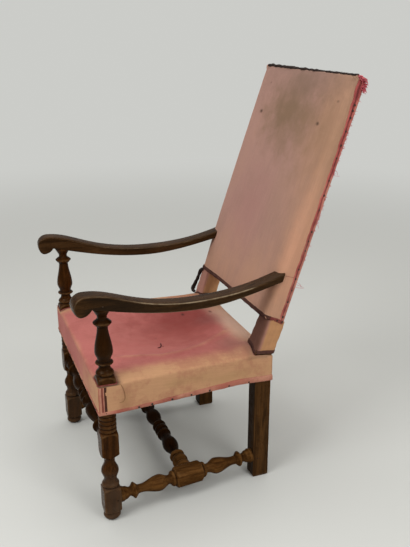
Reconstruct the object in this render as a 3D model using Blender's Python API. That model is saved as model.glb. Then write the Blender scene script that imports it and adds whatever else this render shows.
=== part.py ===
"""A turned walnut armchair with an upholstered seat and a raked, upholstered back.

Metres, +Z up, front towards -Y, the sitter's left towards +X, standing on the floor at z = 0.
"""

import math

import bmesh
import bpy
from mathutils import Matrix, Vector
from mathutils.geometry import interpolate_bezier

# Clearances
FIT = 0.0003
CLOTH_EASE = 0.0010

# Stance: spacing of the post axes
FRONT_SPACING = 0.560
REAR_SPACING = 0.474
POST_SPAN = 0.485

# Front posts
POST_SIDE = 0.0495
POST_ARRIS = 0.0025
FOOT_HEIGHT = 0.024
LOWER_BLOCK = 0.084
UPPER_BLOCK = 0.078
UPPER_BLOCK_HEIGHT = 0.248
BLOCK_SHOULDER = 0.014
LEG_RING = 0.0495
LEG_RING_GROOVE = 0.042
LEG_RING_COUNT = 5
LEG_RING_SPAN = (0.25, 0.70)
PLINTH_TOP = 0.462
PLINTH_SHOULDER = 0.018
ARM_SEAT = 0.652

# Turned stretches of the front post, as (share of the stretch, diameter)
FOOT = ((0.00, 0.0345), (0.45, 0.0495), (1.0, 0.040))
LEG_BALUSTER = (
    (0.00, 0.043), (0.09, 0.0495), (0.19, 0.041), (0.26, 0.0365), (0.49, 0.0495), (0.80, 0.030), (1.0, 0.0385),
)
SUPPORT_BALUSTER = (
    (0.00, 0.043), (0.067, 0.0495), (0.135, 0.029), (0.193, 0.0485), (0.231, 0.0365), (0.356, 0.0495),
    (0.530, 0.040), (0.732, 0.028), (0.799, 0.0495), (0.867, 0.026), (1.0, 0.0465),
)

# Rear posts
REAR_WIDTH = 0.046
REAR_DEPTH = 0.052
REAR_ARRIS = 0.002
KNEE_HEIGHT = 0.412
KNEE_FORWARD = 0.010
RAKE = math.radians(19.5)
BACK_TOP_DEPTH = 0.026
BACK_LEAN = 0.017

# Seat frame
SEAT_BOTTOM = 0.352
SEAT_FALL = 0.009
RAIL_HEIGHT = 0.050
RAIL_THICK = 0.026
RAIL_SET_BACK = 0.001
RAIL_TENON_LENGTH = 0.024
RAIL_TENON_THICK = 0.010
RAIL_TENON_HAUNCH = 0.007

# Back frame, measured along the rake from the knee
BACK_BOTTOM = 0.136
BACK_HEIGHT = 0.721
BACK_RAIL_HEIGHT = 0.050
BACK_RAIL_THICK = 0.022

# Arms
ARM_WIDTH = 0.048
ARM_EDGE = 0.005
ARM_THICK = 0.028
ARM_CREST = 0.701
ARM_DIP = 0.638
ARM_DIP_AT = 0.285
ARM_REAR_TOP = 0.677
ARM_FLAT = 0.025
SCROLL_REACH = 0.083
SCROLL_RADIUS = 0.028
SCROLL_NOTCH = 0.010
SCROLL_START = math.radians(-20)
ARM_TENON_DIAMETER = 0.020
ARM_TENON_LENGTH = 0.030
ARM_REAR_TENON = (0.014, 0.016, 0.022)

# Handles of the arm's curves, as (share along, share of the way to the next height)
CREST_HANDLES = ((0.27, 0.0), (0.41, 1.0))
REAR_TOP_HANDLES = ((0.42, 0.0), (0.70, 0.37))
REAR_LOW_HANDLES = ((0.34, 0.0), (0.70, 0.57))
BELLY_HANDLES = ((0.20, 0.43), (0.54, 1.0))

# The arm's section, as (share of the half width, share of its rounded edge)
ARM_SECTION = ((-1.0, 1.0), (-0.88, 0.3), (-0.45, 0.0), (0.45, 0.0), (0.88, 0.3), (1.0, 1.0))

# Stretchers
STRETCHER_TENON = 0.018
STRETCHER_TENON_LENGTH = 0.026
STRETCHER_BLOCK = 0.053
STRETCHER_BLOCK_CHAMFER = 0.014
STRETCHER_BLOCK_FLAT = 0.8

# Half stretchers, from the middle out to the post, as (share of the half, diameter)
SIDE_PATTERN = (
    (0.19, 0.0615), (0.245, 0.0445), (0.295, 0.0275), (0.43, 0.049), (0.70, 0.0255),
    (0.75, 0.0275), (0.80, 0.0465), (0.85, 0.0265), (0.95, 0.0425), (1.0, 0.0445),
)
MIDDLE_PATTERN = (
    (0.00, 0.0445), (0.06, 0.036), (0.12, 0.0445), (0.17, 0.032), (0.40, 0.049), (0.60, 0.0295),
    (0.68, 0.0465), (0.73, 0.036), (0.81, 0.049), (0.89, 0.036), (0.95, 0.0465), (1.0, 0.0425),
)
FRONT_PATTERN = (
    (0.00, 0.0465), (0.08, 0.032), (0.13, 0.0445), (0.18, 0.0295), (0.36, 0.049), (0.66, 0.0255),
    (0.72, 0.0465), (0.78, 0.0275), (0.90, 0.0425), (1.0, 0.0445),
)

# Pegs
PEG_DIAMETER = 0.007
PEG_LENGTH = 0.026
LONG_PEG_LENGTH = 0.034

# Upholstery
COVER_THICK = 0.002
COVER_ROUND = 0.006
SEAT_EDGE_FRONT = 0.088
SEAT_EDGE_REAR = 0.076
SEAT_ROLL = 0.014
SEAT_DISH = 0.012
BACK_PAD = 0.012
BACK_CROWN = 0.003
WEB_WIDTH = 0.050
WEB_THICK = 0.0015
WEB_COUNT = 3
WEB_PITCH = 0.115
WEB_LAP = 0.016
HESSIAN_THICK = 0.001
HESSIAN_SET_BACK = 0.004
GIMP_THICK = 0.002
SLEEVE_GAP = 0.0015
SLEEVE_GIMP = 0.010

# Facets
TURNED_SIDES = 16
PEG_SIDES = 8
EASE_STEPS = 2
SCROLL_STEPS = 6
CREST_STEPS = 4
GIMP_STEPS = 3
CROWN_SCALES = (0.88, 0.72, 0.50, 0.25)
SMOOTH_ANGLE = math.radians(32)

# Places that follow from the sizes
FRONT_X = FRONT_SPACING / 2
REAR_X = REAR_SPACING / 2
FRONT_Y = -POST_SPAN / 2
REAR_Y = POST_SPAN / 2
POST_HALF = POST_SIDE / 2
REAR_HALF = REAR_WIDTH / 2
LEG_FRONT_Y = REAR_Y - REAR_DEPTH / 2
LEG_REAR_Y = REAR_Y + REAR_DEPTH / 2
KNEE_Y = LEG_FRONT_Y - KNEE_FORWARD
KNEE_DEPTH = REAR_DEPTH + KNEE_FORWARD
BACK_TOP = BACK_BOTTOM + BACK_HEIGHT
COVER_OUT = CLOTH_EASE + COVER_THICK
STRETCHER_Z = FOOT_HEIGHT + LOWER_BLOCK / 2
SIDE_SLOPE = (FRONT_X - REAR_X) / POST_SPAN
LEFT_AND_RIGHT = (("left", 1), ("right", -1))


# Shared modelling steps


def finish(name, colour, roughness):
    """A plain Principled material."""
    material = bpy.data.materials.new(name)
    material.use_nodes = True
    shader = material.node_tree.nodes["Principled BSDF"]
    shader.inputs["Base Color"].default_value = (*colour, 1.0)
    shader.inputs["Roughness"].default_value = roughness
    shader.inputs["Metallic"].default_value = 0.0
    return material


def add_object(name, bm, material, hidden=False):
    """The finished mesh as an object under the chair's empty; a hidden one only cuts or joins."""
    bmesh.ops.recalc_face_normals(bm, faces=bm.faces[:])
    mesh = bpy.data.meshes.new(name)
    bm.to_mesh(mesh)
    bm.free()
    mesh.shade_smooth()
    mesh.set_sharp_from_angle(angle=SMOOTH_ANGLE)
    obj = bpy.data.objects.new(name, mesh)
    bpy.context.scene.collection.objects.link(obj)
    obj.parent = CHAIR
    if hidden:
        obj.hide_render = True
        obj.display_type = "WIRE"
    else:
        mesh.materials.append(material)
    return obj


def loft(name, rings, material=None, hidden=False, capped=(True, True)):
    """One skin over rings of equally many points, with its ends closed where asked."""
    bm = bmesh.new()
    loops = [[bm.verts.new(point) for point in ring] for ring in rings]
    for lower, upper in zip(loops, loops[1:]):
        for i in range(len(lower)):
            j = (i + 1) % len(lower)
            bm.faces.new((lower[i], lower[j], upper[j], upper[i]))
    if capped[0]:
        bm.faces.new(loops[0][::-1])
    if capped[1]:
        bm.faces.new(loops[-1])
    return add_object(name, bm, material, hidden)


def boolean(target, other, operation="DIFFERENCE"):
    """The other object cut from, or joined to, the target."""
    modifier = target.modifiers.new(operation.title(), "BOOLEAN")
    modifier.operation = operation
    modifier.object = other
    modifier.solver = "EXACT"


def shell(obj, thickness):
    """An open skin thickened inwards."""
    modifier = obj.modifiers.new("Solidify", "SOLIDIFY")
    modifier.thickness = thickness
    modifier.offset = -1
    modifier.use_even_offset = True


def blend(start, end, share):
    return start + (end - start) * share


def frame_along(origin, direction, side):
    """A placement whose Z runs along the direction and whose X lies towards side."""
    z = direction.normalized()
    y = z.cross(side).normalized()
    x = y.cross(z)
    turn = Matrix((x, y, z)).transposed().to_4x4()
    return Matrix.Translation(origin) @ turn


# Turned wood


def eased(stops, start, end):
    """(height, radius) points of a turned stretch: its stops joined by rounded hollows and swells."""
    points = []
    for (t0, d0), (t1, d1) in zip(stops, stops[1:]):
        for step in range(EASE_STEPS):
            share = step / EASE_STEPS
            swell = (1 - math.cos(math.pi * share)) / 2
            height = blend(start, end, blend(t0, t1, share))
            points.append((height, blend(d0, d1, swell) / 2))
    points.append((end, stops[-1][1] / 2))
    return points


def shoulder(z_round, z_square, radius, corner):
    """The dome that the lathe leaves where a square block runs out into a round."""
    points = []
    for step in range(EASE_STEPS + 1):
        share = step / EASE_STEPS
        rise = 1 - math.cos(share * math.pi / 2)
        points.append((blend(z_round, z_square, rise), blend(radius, corner, share)))
    return points


def stock_reach(angle, half, chamfer):
    """How far square stock with chamfered corners reaches from its axis."""
    across = abs(math.cos(angle))
    along = abs(math.sin(angle))
    return min(half / max(across, along), (2 * half - chamfer) / (across + along))


def spindle_ring(z, radius, stock=None, slant=0.0):
    """One ring of a turned piece, held inside its stock, slanted where it meets an angled face."""
    ring = []
    for k in range(TURNED_SIDES):
        angle = 2 * math.pi * k / TURNED_SIDES
        reach = min(radius, stock_reach(angle, *stock)) if stock else radius
        x = reach * math.cos(angle)
        ring.append(Vector((x, reach * math.sin(angle), z + slant * x)))
    return ring


def front_post_rings():
    stock = (POST_HALF, POST_ARRIS)
    corner = POST_HALF * math.sqrt(2)
    lower_top = FOOT_HEIGHT + LOWER_BLOCK
    upper_bottom = UPPER_BLOCK_HEIGHT - UPPER_BLOCK / 2
    upper_top = UPPER_BLOCK_HEIGHT + UPPER_BLOCK / 2
    groove = LEG_RING_GROOVE / 2
    points = eased(FOOT, 0.0, FOOT_HEIGHT)[:-1]
    points += shoulder(FOOT_HEIGHT, FOOT_HEIGHT + BLOCK_SHOULDER, FOOT[-1][1] / 2, corner)
    points += shoulder(lower_top, lower_top - BLOCK_SHOULDER, LEG_BALUSTER[0][1] / 2, corner)[::-1]
    points += eased(LEG_BALUSTER, lower_top, upper_bottom)[1:-1]
    points += shoulder(upper_bottom, upper_bottom + BLOCK_SHOULDER, LEG_BALUSTER[-1][1] / 2, corner)
    points += shoulder(upper_top, upper_top - BLOCK_SHOULDER, groove, corner)[::-1]
    pitch = (SEAT_BOTTOM - upper_top) / LEG_RING_COUNT
    for ring in range(LEG_RING_COUNT):
        base = upper_top + ring * pitch
        points += [(base + share * pitch, LEG_RING / 2) for share in LEG_RING_SPAN]
        points.append((base + pitch, groove))
    points.append((SEAT_BOTTOM + FIT, corner))
    neck = SUPPORT_BALUSTER[0][1] / 2
    points += shoulder(PLINTH_TOP, PLINTH_TOP - PLINTH_SHOULDER, neck, corner)[::-1]
    points += eased(SUPPORT_BALUSTER, PLINTH_TOP, ARM_SEAT - FIT)[1:]
    points.append((ARM_SEAT - FIT, ARM_TENON_DIAMETER / 2))
    points.append((ARM_SEAT + ARM_TENON_LENGTH, ARM_TENON_DIAMETER / 2))
    return [spindle_ring(z, radius, stock) for z, radius in points]


def stretcher_rings(pattern, half_length, slants, block=False):
    """A symmetrical stretcher, round tenons at its ends, its shoulders slanted to the faces they meet."""
    stock = (STRETCHER_BLOCK / 2, STRETCHER_BLOCK_CHAMFER)
    half = eased(pattern, 0.0, half_length)
    if block:
        half = [(pattern[0][0] * half_length * STRETCHER_BLOCK_FLAT, STRETCHER_BLOCK)] + half
    else:
        half = half[1:]
    points = [(-z, radius) for z, radius in half[::-1]]
    if not block:
        points.append((0.0, pattern[0][1] / 2))
    points += half
    tenon = STRETCHER_TENON / 2
    tip = half_length + STRETCHER_TENON_LENGTH
    rings = [spindle_ring(-tip, tenon), spindle_ring(-half_length, tenon, None, slants[0])]
    rings.append(spindle_ring(*points[0], stock, slants[0]))
    rings += [spindle_ring(z, radius, stock) for z, radius in points[1:-1]]
    rings.append(spindle_ring(*points[-1], stock, slants[1]))
    rings += [spindle_ring(half_length, tenon, None, slants[1]), spindle_ring(tip, tenon)]
    return rings


def stretcher(name, start, end, pattern, slants=(0.0, 0.0), block=False):
    """A turned stretcher between the middles of the two faces that it meets."""
    run = end - start
    obj = loft(name, stretcher_rings(pattern, run.length / 2 - FIT, slants, block), WALNUT)
    obj.matrix_basis = frame_along((start + end) / 2, run, run.cross(Vector((0, 0, 1))))
    return obj


def socket(target, piece, run, end):
    """The round mortise for a stretcher's tenon; run is the length between faces and end is -1 or 1."""
    half_length = run / 2
    radius = STRETCHER_TENON / 2 + FIT
    near = end * (half_length - POST_HALF / 2)
    far = end * (half_length + STRETCHER_TENON_LENGTH + FIT)
    rings = [spindle_ring(z, radius) for z in sorted((near, far))]
    cutter = loft(f"{piece.name}_socket_{end}", rings, hidden=True)
    cutter.matrix_basis = piece.matrix_basis
    boolean(target, cutter)


def peg(name, start, direction, length, pierced):
    """A peg flush with the face that it starts in, and its hole in each piece that it pins."""
    placement = frame_along(start, direction, Vector((direction.z, direction.x, direction.y)))

    def rings(radius, low, high):
        ring = []
        for k in range(PEG_SIDES):
            angle = 2 * math.pi * k / PEG_SIDES
            ring.append((radius * math.cos(angle), radius * math.sin(angle)))
        return [[(x, y, z) for x, y in ring] for z in (low, high)]

    pin = loft(name, rings(PEG_DIAMETER / 2, 0.0, length), PEG_WOOD)
    pin.matrix_basis = placement
    bored = rings(PEG_DIAMETER / 2 + FIT, -PEG_DIAMETER, length + FIT)
    hole = loft(f"{name}_hole", bored, hidden=True)
    hole.matrix_basis = placement
    for piece in pierced:
        boolean(piece, hole)


# Rear posts and the raked back


def raked(x, v, u):
    """A point of the back: v behind the posts' front faces, u up the rake from the knee."""
    y = KNEE_Y + v * math.cos(RAKE) + u * math.sin(RAKE)
    z = KNEE_HEIGHT - v * math.sin(RAKE) + u * math.cos(RAKE)
    return Vector((x, y, z))


def rake_at(z, v=0.0):
    """The u of a point at height z and depth v."""
    return (z - KNEE_HEIGHT + v * math.sin(RAKE)) / math.cos(RAKE)


def post_depth(u):
    """The posts' depth behind their front faces."""
    knee_u = KNEE_DEPTH * math.sin(RAKE)
    share = (u - knee_u) / (BACK_TOP - knee_u)
    return blend(KNEE_DEPTH * math.cos(RAKE), BACK_TOP_DEPTH, share)


def post_middle(u):
    """How far a rear post's middle stands from the chair's middle."""
    return REAR_X + BACK_LEAN * u / BACK_TOP


def front_face_y(z):
    """The y of the raked posts' front faces."""
    return KNEE_Y + (z - KNEE_HEIGHT) * math.tan(RAKE)


def chamfered(x_low, x_high, low, high, chamfer):
    """(x, depth) corners of a rectangle with its corners taken off."""
    c = chamfer
    return (
        (x_low + c, low), (x_high - c, low), (x_high, low + c), (x_high, high - c),
        (x_high - c, high), (x_low + c, high), (x_low, high - c), (x_low, low + c),
    )


def rear_post_rings(side, grow=0.0, arris=REAR_ARRIS):
    """The bent post from its foot to the top of the back, grown on all faces for a clearance cut."""
    half = REAR_HALF + grow
    middle = side * REAR_X
    top = BACK_TOP - COVER_OUT - FIT + grow
    foot_z = -grow
    levels = (
        (foot_z, LEG_FRONT_Y, LEG_REAR_Y),
        (SEAT_BOTTOM - SEAT_FALL, LEG_FRONT_Y, LEG_REAR_Y),
        (KNEE_HEIGHT, KNEE_Y, KNEE_Y + KNEE_DEPTH),
    )
    rings = []
    for z, front, rear in levels:
        corners = chamfered(middle - half, middle + half, front - grow, rear + grow, arris)
        rings.append([Vector((x, y, z)) for x, y in corners])
    middle = side * post_middle(top)
    corners = chamfered(middle - half, middle + half, -grow, post_depth(top) + grow, arris)
    rings.append([raked(x, v, top) for x, v in corners])
    return rings


def back_rail(name, low, high):
    """A rail across the back between the posts' inner faces, with a tenon at each end."""

    def ring(side, reach, v_low, v_high, u_low, u_high):
        points = []
        for v, u in ((v_low, u_low), (v_high, u_low), (v_high, u_high), (v_low, u_high)):
            inner = post_middle(u) - REAR_HALF
            points.append(raked(side * (inner + reach), v, u))
        return points

    tenon_v = (BACK_RAIL_THICK - RAIL_TENON_THICK) / 2
    full = (0.0, BACK_RAIL_THICK, low, high)
    tenon = (tenon_v, tenon_v + RAIL_TENON_THICK, low + RAIL_TENON_HAUNCH, high - RAIL_TENON_HAUNCH)
    rings = [ring(-1, RAIL_TENON_LENGTH, *tenon), ring(-1, -FIT, *tenon), ring(-1, -FIT, *full)]
    rings += [ring(1, -FIT, *full), ring(1, -FIT, *tenon), ring(1, RAIL_TENON_LENGTH, *tenon)]
    rail = loft(name, rings, WALNUT)
    v_low, v_high, u_low, u_high = tenon
    grown = (v_low - FIT, v_high + FIT, u_low - FIT, u_high + FIT)
    for label, side in LEFT_AND_RIGHT:
        ends = [ring(side, -RAIL_TENON_LENGTH, *grown), ring(side, RAIL_TENON_LENGTH + FIT, *grown)]
        boolean(REAR_POSTS[label], loft(f"{name}_mortise_{label}", ends, hidden=True))
        u = (low + high) / 2
        start = raked(side * (post_middle(u) - REAR_HALF + RAIL_TENON_LENGTH / 2), 0.0, u)
        inwards = raked(0, 1, 0) - raked(0, 0, 0)
        peg(f"{name}_peg_{label}", start, inwards, PEG_LENGTH, (REAR_POSTS[label], rail))


# Seat frame


def seat_z(y, height):
    """A height above the sloping plane of the rails' undersides."""
    return SEAT_BOTTOM - SEAT_FALL * (y - FRONT_Y) / POST_SPAN + height


def cross_rail(name, inner, post_face_y, inwards, posts):
    """The front or rear seat rail, its outer face just behind the posts' faces."""
    face_y = post_face_y + inwards * RAIL_SET_BACK
    y_low, y_high = sorted((face_y, face_y + inwards * RAIL_THICK))
    middle = (y_low + y_high) / 2
    tenon_y = (middle - RAIL_TENON_THICK / 2, middle + RAIL_TENON_THICK / 2)
    tenon_z = (RAIL_TENON_HAUNCH, RAIL_HEIGHT - RAIL_TENON_HAUNCH)

    def ring(x, ys, zs, grow=0.0):
        near, far = (ys[0] - grow, ys[1] + grow)
        low, high = (zs[0] - grow, zs[1] + grow)
        corners = ((near, low), (far, low), (far, high), (near, high))
        return [Vector((x, y, seat_z(y, height))) for y, height in corners]

    shoulder_x = inner - FIT
    tip = inner + RAIL_TENON_LENGTH
    full = ((y_low, y_high), (0.0, RAIL_HEIGHT))
    tenon = (tenon_y, tenon_z)
    rings = [ring(-tip, *tenon), ring(-shoulder_x, *tenon), ring(-shoulder_x, *full)]
    rings += [ring(shoulder_x, *full), ring(shoulder_x, *tenon), ring(tip, *tenon)]
    rail = loft(name, rings, WALNUT)
    for label, side in LEFT_AND_RIGHT:
        ends = [ring(side * x, *tenon, FIT) for x in (inner - RAIL_TENON_LENGTH, tip + FIT)]
        boolean(posts[label], loft(f"{name}_mortise_{label}", ends, hidden=True))
        peg_x = side * (inner + RAIL_TENON_LENGTH / 2)
        start = Vector((peg_x, post_face_y, seat_z(middle, RAIL_HEIGHT / 2)))
        peg(f"{name}_peg_{label}", start, Vector((0, inwards, 0)), PEG_LENGTH, (posts[label], rail))


def side_rail(label, side):
    """A side seat rail from the front post's rear face to the rear post's front face."""
    front_y = FRONT_Y + POST_HALF
    rear_y = LEG_FRONT_Y
    front_outer = FRONT_X + POST_HALF - RAIL_SET_BACK
    rear_outer = REAR_X + REAR_HALF - RAIL_SET_BACK
    tenon_in = (RAIL_THICK - RAIL_TENON_THICK) / 2
    full = (0.0, RAIL_THICK, 0.0, RAIL_HEIGHT)
    haunch = RAIL_TENON_HAUNCH
    tenon = (tenon_in, tenon_in + RAIL_TENON_THICK, haunch, RAIL_HEIGHT - haunch)

    def ring(y, section, grow=0.0, scribed=False):
        """A section across the rail, in the plane of y or scribed to the rear post's sloping face."""
        near, far = (section[0] - grow, section[1] + grow)
        low, high = (section[2] - grow, section[3] + grow)
        points = []
        for inset, height in ((near, low), (far, low), (far, high), (near, high)):
            z = seat_z(y, height)
            at = knee_face_y(z) - FIT if scribed else y
            outer = blend(front_outer, rear_outer, (at - front_y) / (rear_y - front_y))
            points.append(Vector((side * (outer - inset), at, z)))
        return points

    tip_front = front_y - RAIL_TENON_LENGTH
    tip_rear = rear_y + RAIL_TENON_LENGTH
    rings = [ring(tip_front, tenon), ring(front_y + FIT, tenon), ring(front_y + FIT, full)]
    rings += [ring(rear_y, full, scribed=True), ring(rear_y, tenon, scribed=True), ring(tip_rear, tenon)]
    rail = loft(f"seat_rail_{label}", rings, WALNUT)
    joints = (
        (FRONT_POSTS[label], "front", front_y, -1, FRONT_X + POST_HALF),
        (REAR_POSTS[label], "rear", rear_y, 1, REAR_X + REAR_HALF),
    )
    mortise = (-RAIL_TENON_LENGTH, RAIL_TENON_LENGTH + FIT)
    for post, place, face, way, outer in joints:
        ends = [ring(face + way * reach, tenon, FIT) for reach in mortise]
        boolean(post, loft(f"seat_rail_{label}_mortise_{place}", ends, hidden=True))
        y = face + way * RAIL_TENON_LENGTH / 2
        start = Vector((side * outer, y, seat_z(y, RAIL_HEIGHT / 2)))
        peg(f"seat_rail_{label}_{place}_peg", start, Vector((-side, 0, 0)), PEG_LENGTH, (post, rail))


def knee_face_y(z):
    """The y of the rear post's front face between the leg and the knee."""
    low = SEAT_BOTTOM - SEAT_FALL
    return blend(LEG_FRONT_Y, KNEE_Y, max(0.0, (z - low) / (KNEE_HEIGHT - low)))


# Arms


def arm_angle():
    """How far each arm turns inwards on its way back, to meet the middle of the leaning post."""
    z = ARM_REAR_TOP - ARM_THICK / 2
    return math.atan2(FRONT_X - post_middle(rake_at(z)), front_face_y(z) - FRONT_Y)


def arm_placement(side):
    """The arm's own frame: Y runs back along the arm from the front post's axis."""
    return Matrix.Translation((side * FRONT_X, FRONT_Y, 0)) @ Matrix.Rotation(side * arm_angle(), 4, "Z")


def bow(start, end, handles, steps):
    """A Bezier curve without its last point; its handles are shares of the way from start to end."""
    knots = [start]
    for along, up in handles:
        knots.append((blend(start[0], end[0], along), blend(start[1], end[1], up)))
    curve = interpolate_bezier(*[Vector((*knot, 0)) for knot in (*knots, end)], steps + 1)
    return [(p.x, p.y) for p in curve[:-1]]


def arm_outline(lateral, inset, gap=FIT):
    """(distance behind the post's axis, height) round the arm, drawn in by inset."""
    angle = arm_angle()

    def end_at(z):
        return (front_face_y(z) - gap - FRONT_Y - lateral * math.sin(angle)) / math.cos(angle)

    rear_top = (end_at(ARM_REAR_TOP), ARM_REAR_TOP)
    rear_low = (end_at(ARM_REAR_TOP - ARM_THICK), ARM_REAR_TOP - ARM_THICK)
    dip_top = (ARM_DIP_AT, ARM_DIP)
    dip_low = (ARM_DIP_AT, ARM_DIP - ARM_THICK)
    crest = (-SCROLL_REACH / 2, ARM_CREST)
    flat = (ARM_FLAT, ARM_SEAT)
    roll_s = -SCROLL_REACH + SCROLL_RADIUS
    roll_z = ARM_SEAT - SCROLL_NOTCH + SCROLL_RADIUS
    points = []
    for step in range(SCROLL_STEPS):
        turn = SCROLL_START - (math.pi + SCROLL_START) * step / SCROLL_STEPS
        points.append((roll_s + SCROLL_RADIUS * math.cos(turn), roll_z + SCROLL_RADIUS * math.sin(turn)))
    for step in range(CREST_STEPS):
        turn = math.pi - math.pi / 2 * step / CREST_STEPS
        s = crest[0] + (SCROLL_REACH + crest[0]) * math.cos(turn)
        points.append((s, roll_z + (ARM_CREST - roll_z) * math.sin(turn)))
    points += bow(crest, dip_top, CREST_HANDLES, SCROLL_STEPS)
    points += bow(dip_top, rear_top, REAR_TOP_HANDLES, CREST_STEPS)
    corner = len(points)
    points += [rear_top, rear_low]
    points += bow(dip_low, rear_low, REAR_LOW_HANDLES, CREST_STEPS)[:0:-1]
    points += [dip_low] + bow(flat, dip_low, BELLY_HANDLES, SCROLL_STEPS)[:0:-1]
    points += [flat, (-ARM_FLAT, ARM_SEAT)]
    drawn = []
    for i, (s, z) in enumerate(points):
        if i in (corner, corner + 1):
            z += inset if i == corner + 1 else -inset
            drawn.append((end_at(z), z))
            continue
        before = points[i - 1]
        after = points[(i + 1) % len(points)]
        along = Vector((after[0] - before[0], after[1] - before[1])).normalized()
        drawn.append((s + along.y * inset, z - along.x * inset))
    return drawn


def arm(label, side):
    """A scrolled arm, flat under its front over the post, its rear end tenoned into the rear post."""
    half = ARM_WIDTH / 2
    rings = []
    for share, draw in ARM_SECTION:
        outline = arm_outline(share * half, draw * ARM_EDGE)
        rings.append([Vector((side * share * half, s, z)) for s, z in outline])
    obj = loft(f"arm_{label}", rings, WALNUT)
    placement = arm_placement(side)
    obj.matrix_basis = placement
    wide, tall, long = ARM_REAR_TENON
    middle = ARM_REAR_TOP - ARM_THICK / 2
    end = (front_face_y(middle) - FIT - FRONT_Y) / math.cos(arm_angle())

    def tenon(name, grow):
        lengths = (end - ARM_THICK, end + long + grow)
        corners = ((-1, -1), (1, -1), (1, 1), (-1, 1))
        sizes = (wide / 2 + grow, tall / 2 + grow)
        block = [[(a * sizes[0], s, middle + b * sizes[1]) for a, b in corners] for s in lengths]
        helper = loft(f"arm_{label}_{name}", block, hidden=True)
        helper.matrix_basis = placement
        return helper

    boolean(obj, tenon("tenon", 0.0), "UNION")
    boolean(REAR_POSTS[label], tenon("mortise", FIT))
    depths = (ARM_SEAT - ARM_FLAT, ARM_SEAT + ARM_TENON_LENGTH + FIT)
    hole = [spindle_ring(z, ARM_TENON_DIAMETER / 2 + FIT) for z in depths]
    cutter = loft(f"arm_{label}_socket", hole, hidden=True)
    cutter.matrix_basis = Matrix.Translation((side * FRONT_X, FRONT_Y, 0))
    boolean(obj, cutter)
    outwards = placement.to_3x3() @ Vector((side, 0, 0))
    start = Vector((side * FRONT_X, FRONT_Y, ARM_SEAT + ARM_TENON_LENGTH / 2)) + outwards * half
    peg(f"arm_peg_{label}", start, -outwards, LONG_PEG_LENGTH, (obj, FRONT_POSTS[label]))


def arm_clearance(label, side):
    """The arm's rear end grown by the cloth's ease, to cut the back's cloth and stuffing."""
    half = ARM_WIDTH / 2 + CLOTH_EASE
    rings = [
        [Vector((side * lateral, s, z)) for s, z in arm_outline(lateral, -CLOTH_EASE, -CLOTH_EASE)]
        for lateral in (-half, half)
    ]
    cutter = loft(f"arm_{label}_clearance", rings, hidden=True)
    cutter.matrix_basis = arm_placement(side)
    return cutter


# Upholstery


def divided(corners, counts):
    """Points along a closed outline, each side divided into its own count."""
    points = []
    for i, count in enumerate(counts):
        start = corners[i]
        end = corners[(i + 1) % len(corners)]
        for step in range(count):
            points.append(tuple(blend(a, b, step / count) for a, b in zip(start, end)))
    return points


def seat_outline(margin):
    """The cloth's line round all four posts, margin outside their faces."""
    front_x = FRONT_X + POST_HALF + margin
    rear_x = REAR_X + REAR_HALF + margin
    front_y = FRONT_Y - POST_HALF - margin
    rear_y = LEG_REAR_Y + margin
    behind = FRONT_Y + POST_HALF
    corners = (
        (-front_x, front_y), (front_x, front_y), (front_x, behind), (rear_x, LEG_FRONT_Y),
        (rear_x, rear_y), (-rear_x, rear_y), (-rear_x, LEG_FRONT_Y), (-front_x, behind),
    )
    return divided(corners, (8, 1, 8, 1, 8, 1, 8, 1))


def seat_top(y, inward):
    """The cloth's height: a firm edge, a roll inside it, a dish in the middle; inward is 0 at the edge."""
    share = (y - FRONT_Y) / POST_SPAN
    edge = seat_z(y, blend(SEAT_EDGE_FRONT, SEAT_EDGE_REAR, share))
    return edge + SEAT_ROLL * 4 * inward * (1 - inward) - SEAT_DISH * inward * inward


def cushion_rings(outline, top, shrink, place):
    """Rings from the top of a cushion's side over its rounded edge to the middle of its crown."""
    rings = []
    for step in range(3):
        turn = math.pi / 4 * step
        inset = COVER_ROUND * (1 - math.cos(turn))
        drop = COVER_ROUND * (1 - math.sin(turn)) + shrink
        rings.append([place(point, top(point, 0.0) - drop) for point in outline(-shrink - inset)])
    edge = outline(-shrink - COVER_ROUND)
    middle = [sum(values) / len(edge) for values in zip(*edge)]
    for scale in CROWN_SCALES:
        ring = [tuple(blend(m, p, scale) for m, p in zip(middle, point)) for point in edge]
        rings.append([place(point, top(point, 1 - scale) - shrink) for point in ring])
    return rings


def seat_rings(shrink):
    def place(point, height):
        return Vector((point[0], point[1], height))

    def outline(margin):
        return seat_outline(COVER_OUT + margin)

    def top(point, inward):
        return seat_top(point[1], inward)

    return cushion_rings(outline, top, shrink, place)


def post_clearance(name, grow):
    """The four posts grown by a little, to cut the seat's cloth or its filling round them."""
    half = POST_HALF + grow
    cutters = []
    for label, side in LEFT_AND_RIGHT:
        square = ((-half, -half), (half, -half), (half, half), (-half, half))
        middle = Vector((side * FRONT_X, FRONT_Y, 0))
        rings = [[middle + Vector((x, y, z)) for x, y in square] for z in (0.0, ARM_SEAT)]
        cutters.append(loft(f"{name}_front_{label}", rings, hidden=True))
        cutters.append(loft(f"{name}_rear_{label}", rear_post_rings(side, grow, FIT), hidden=True))
    return cutters


def web_level():
    """The height of the webbing's middle above the rails' undersides, where it lies on the rails."""
    return RAIL_HEIGHT + FIT + WEB_THICK / 2


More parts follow.
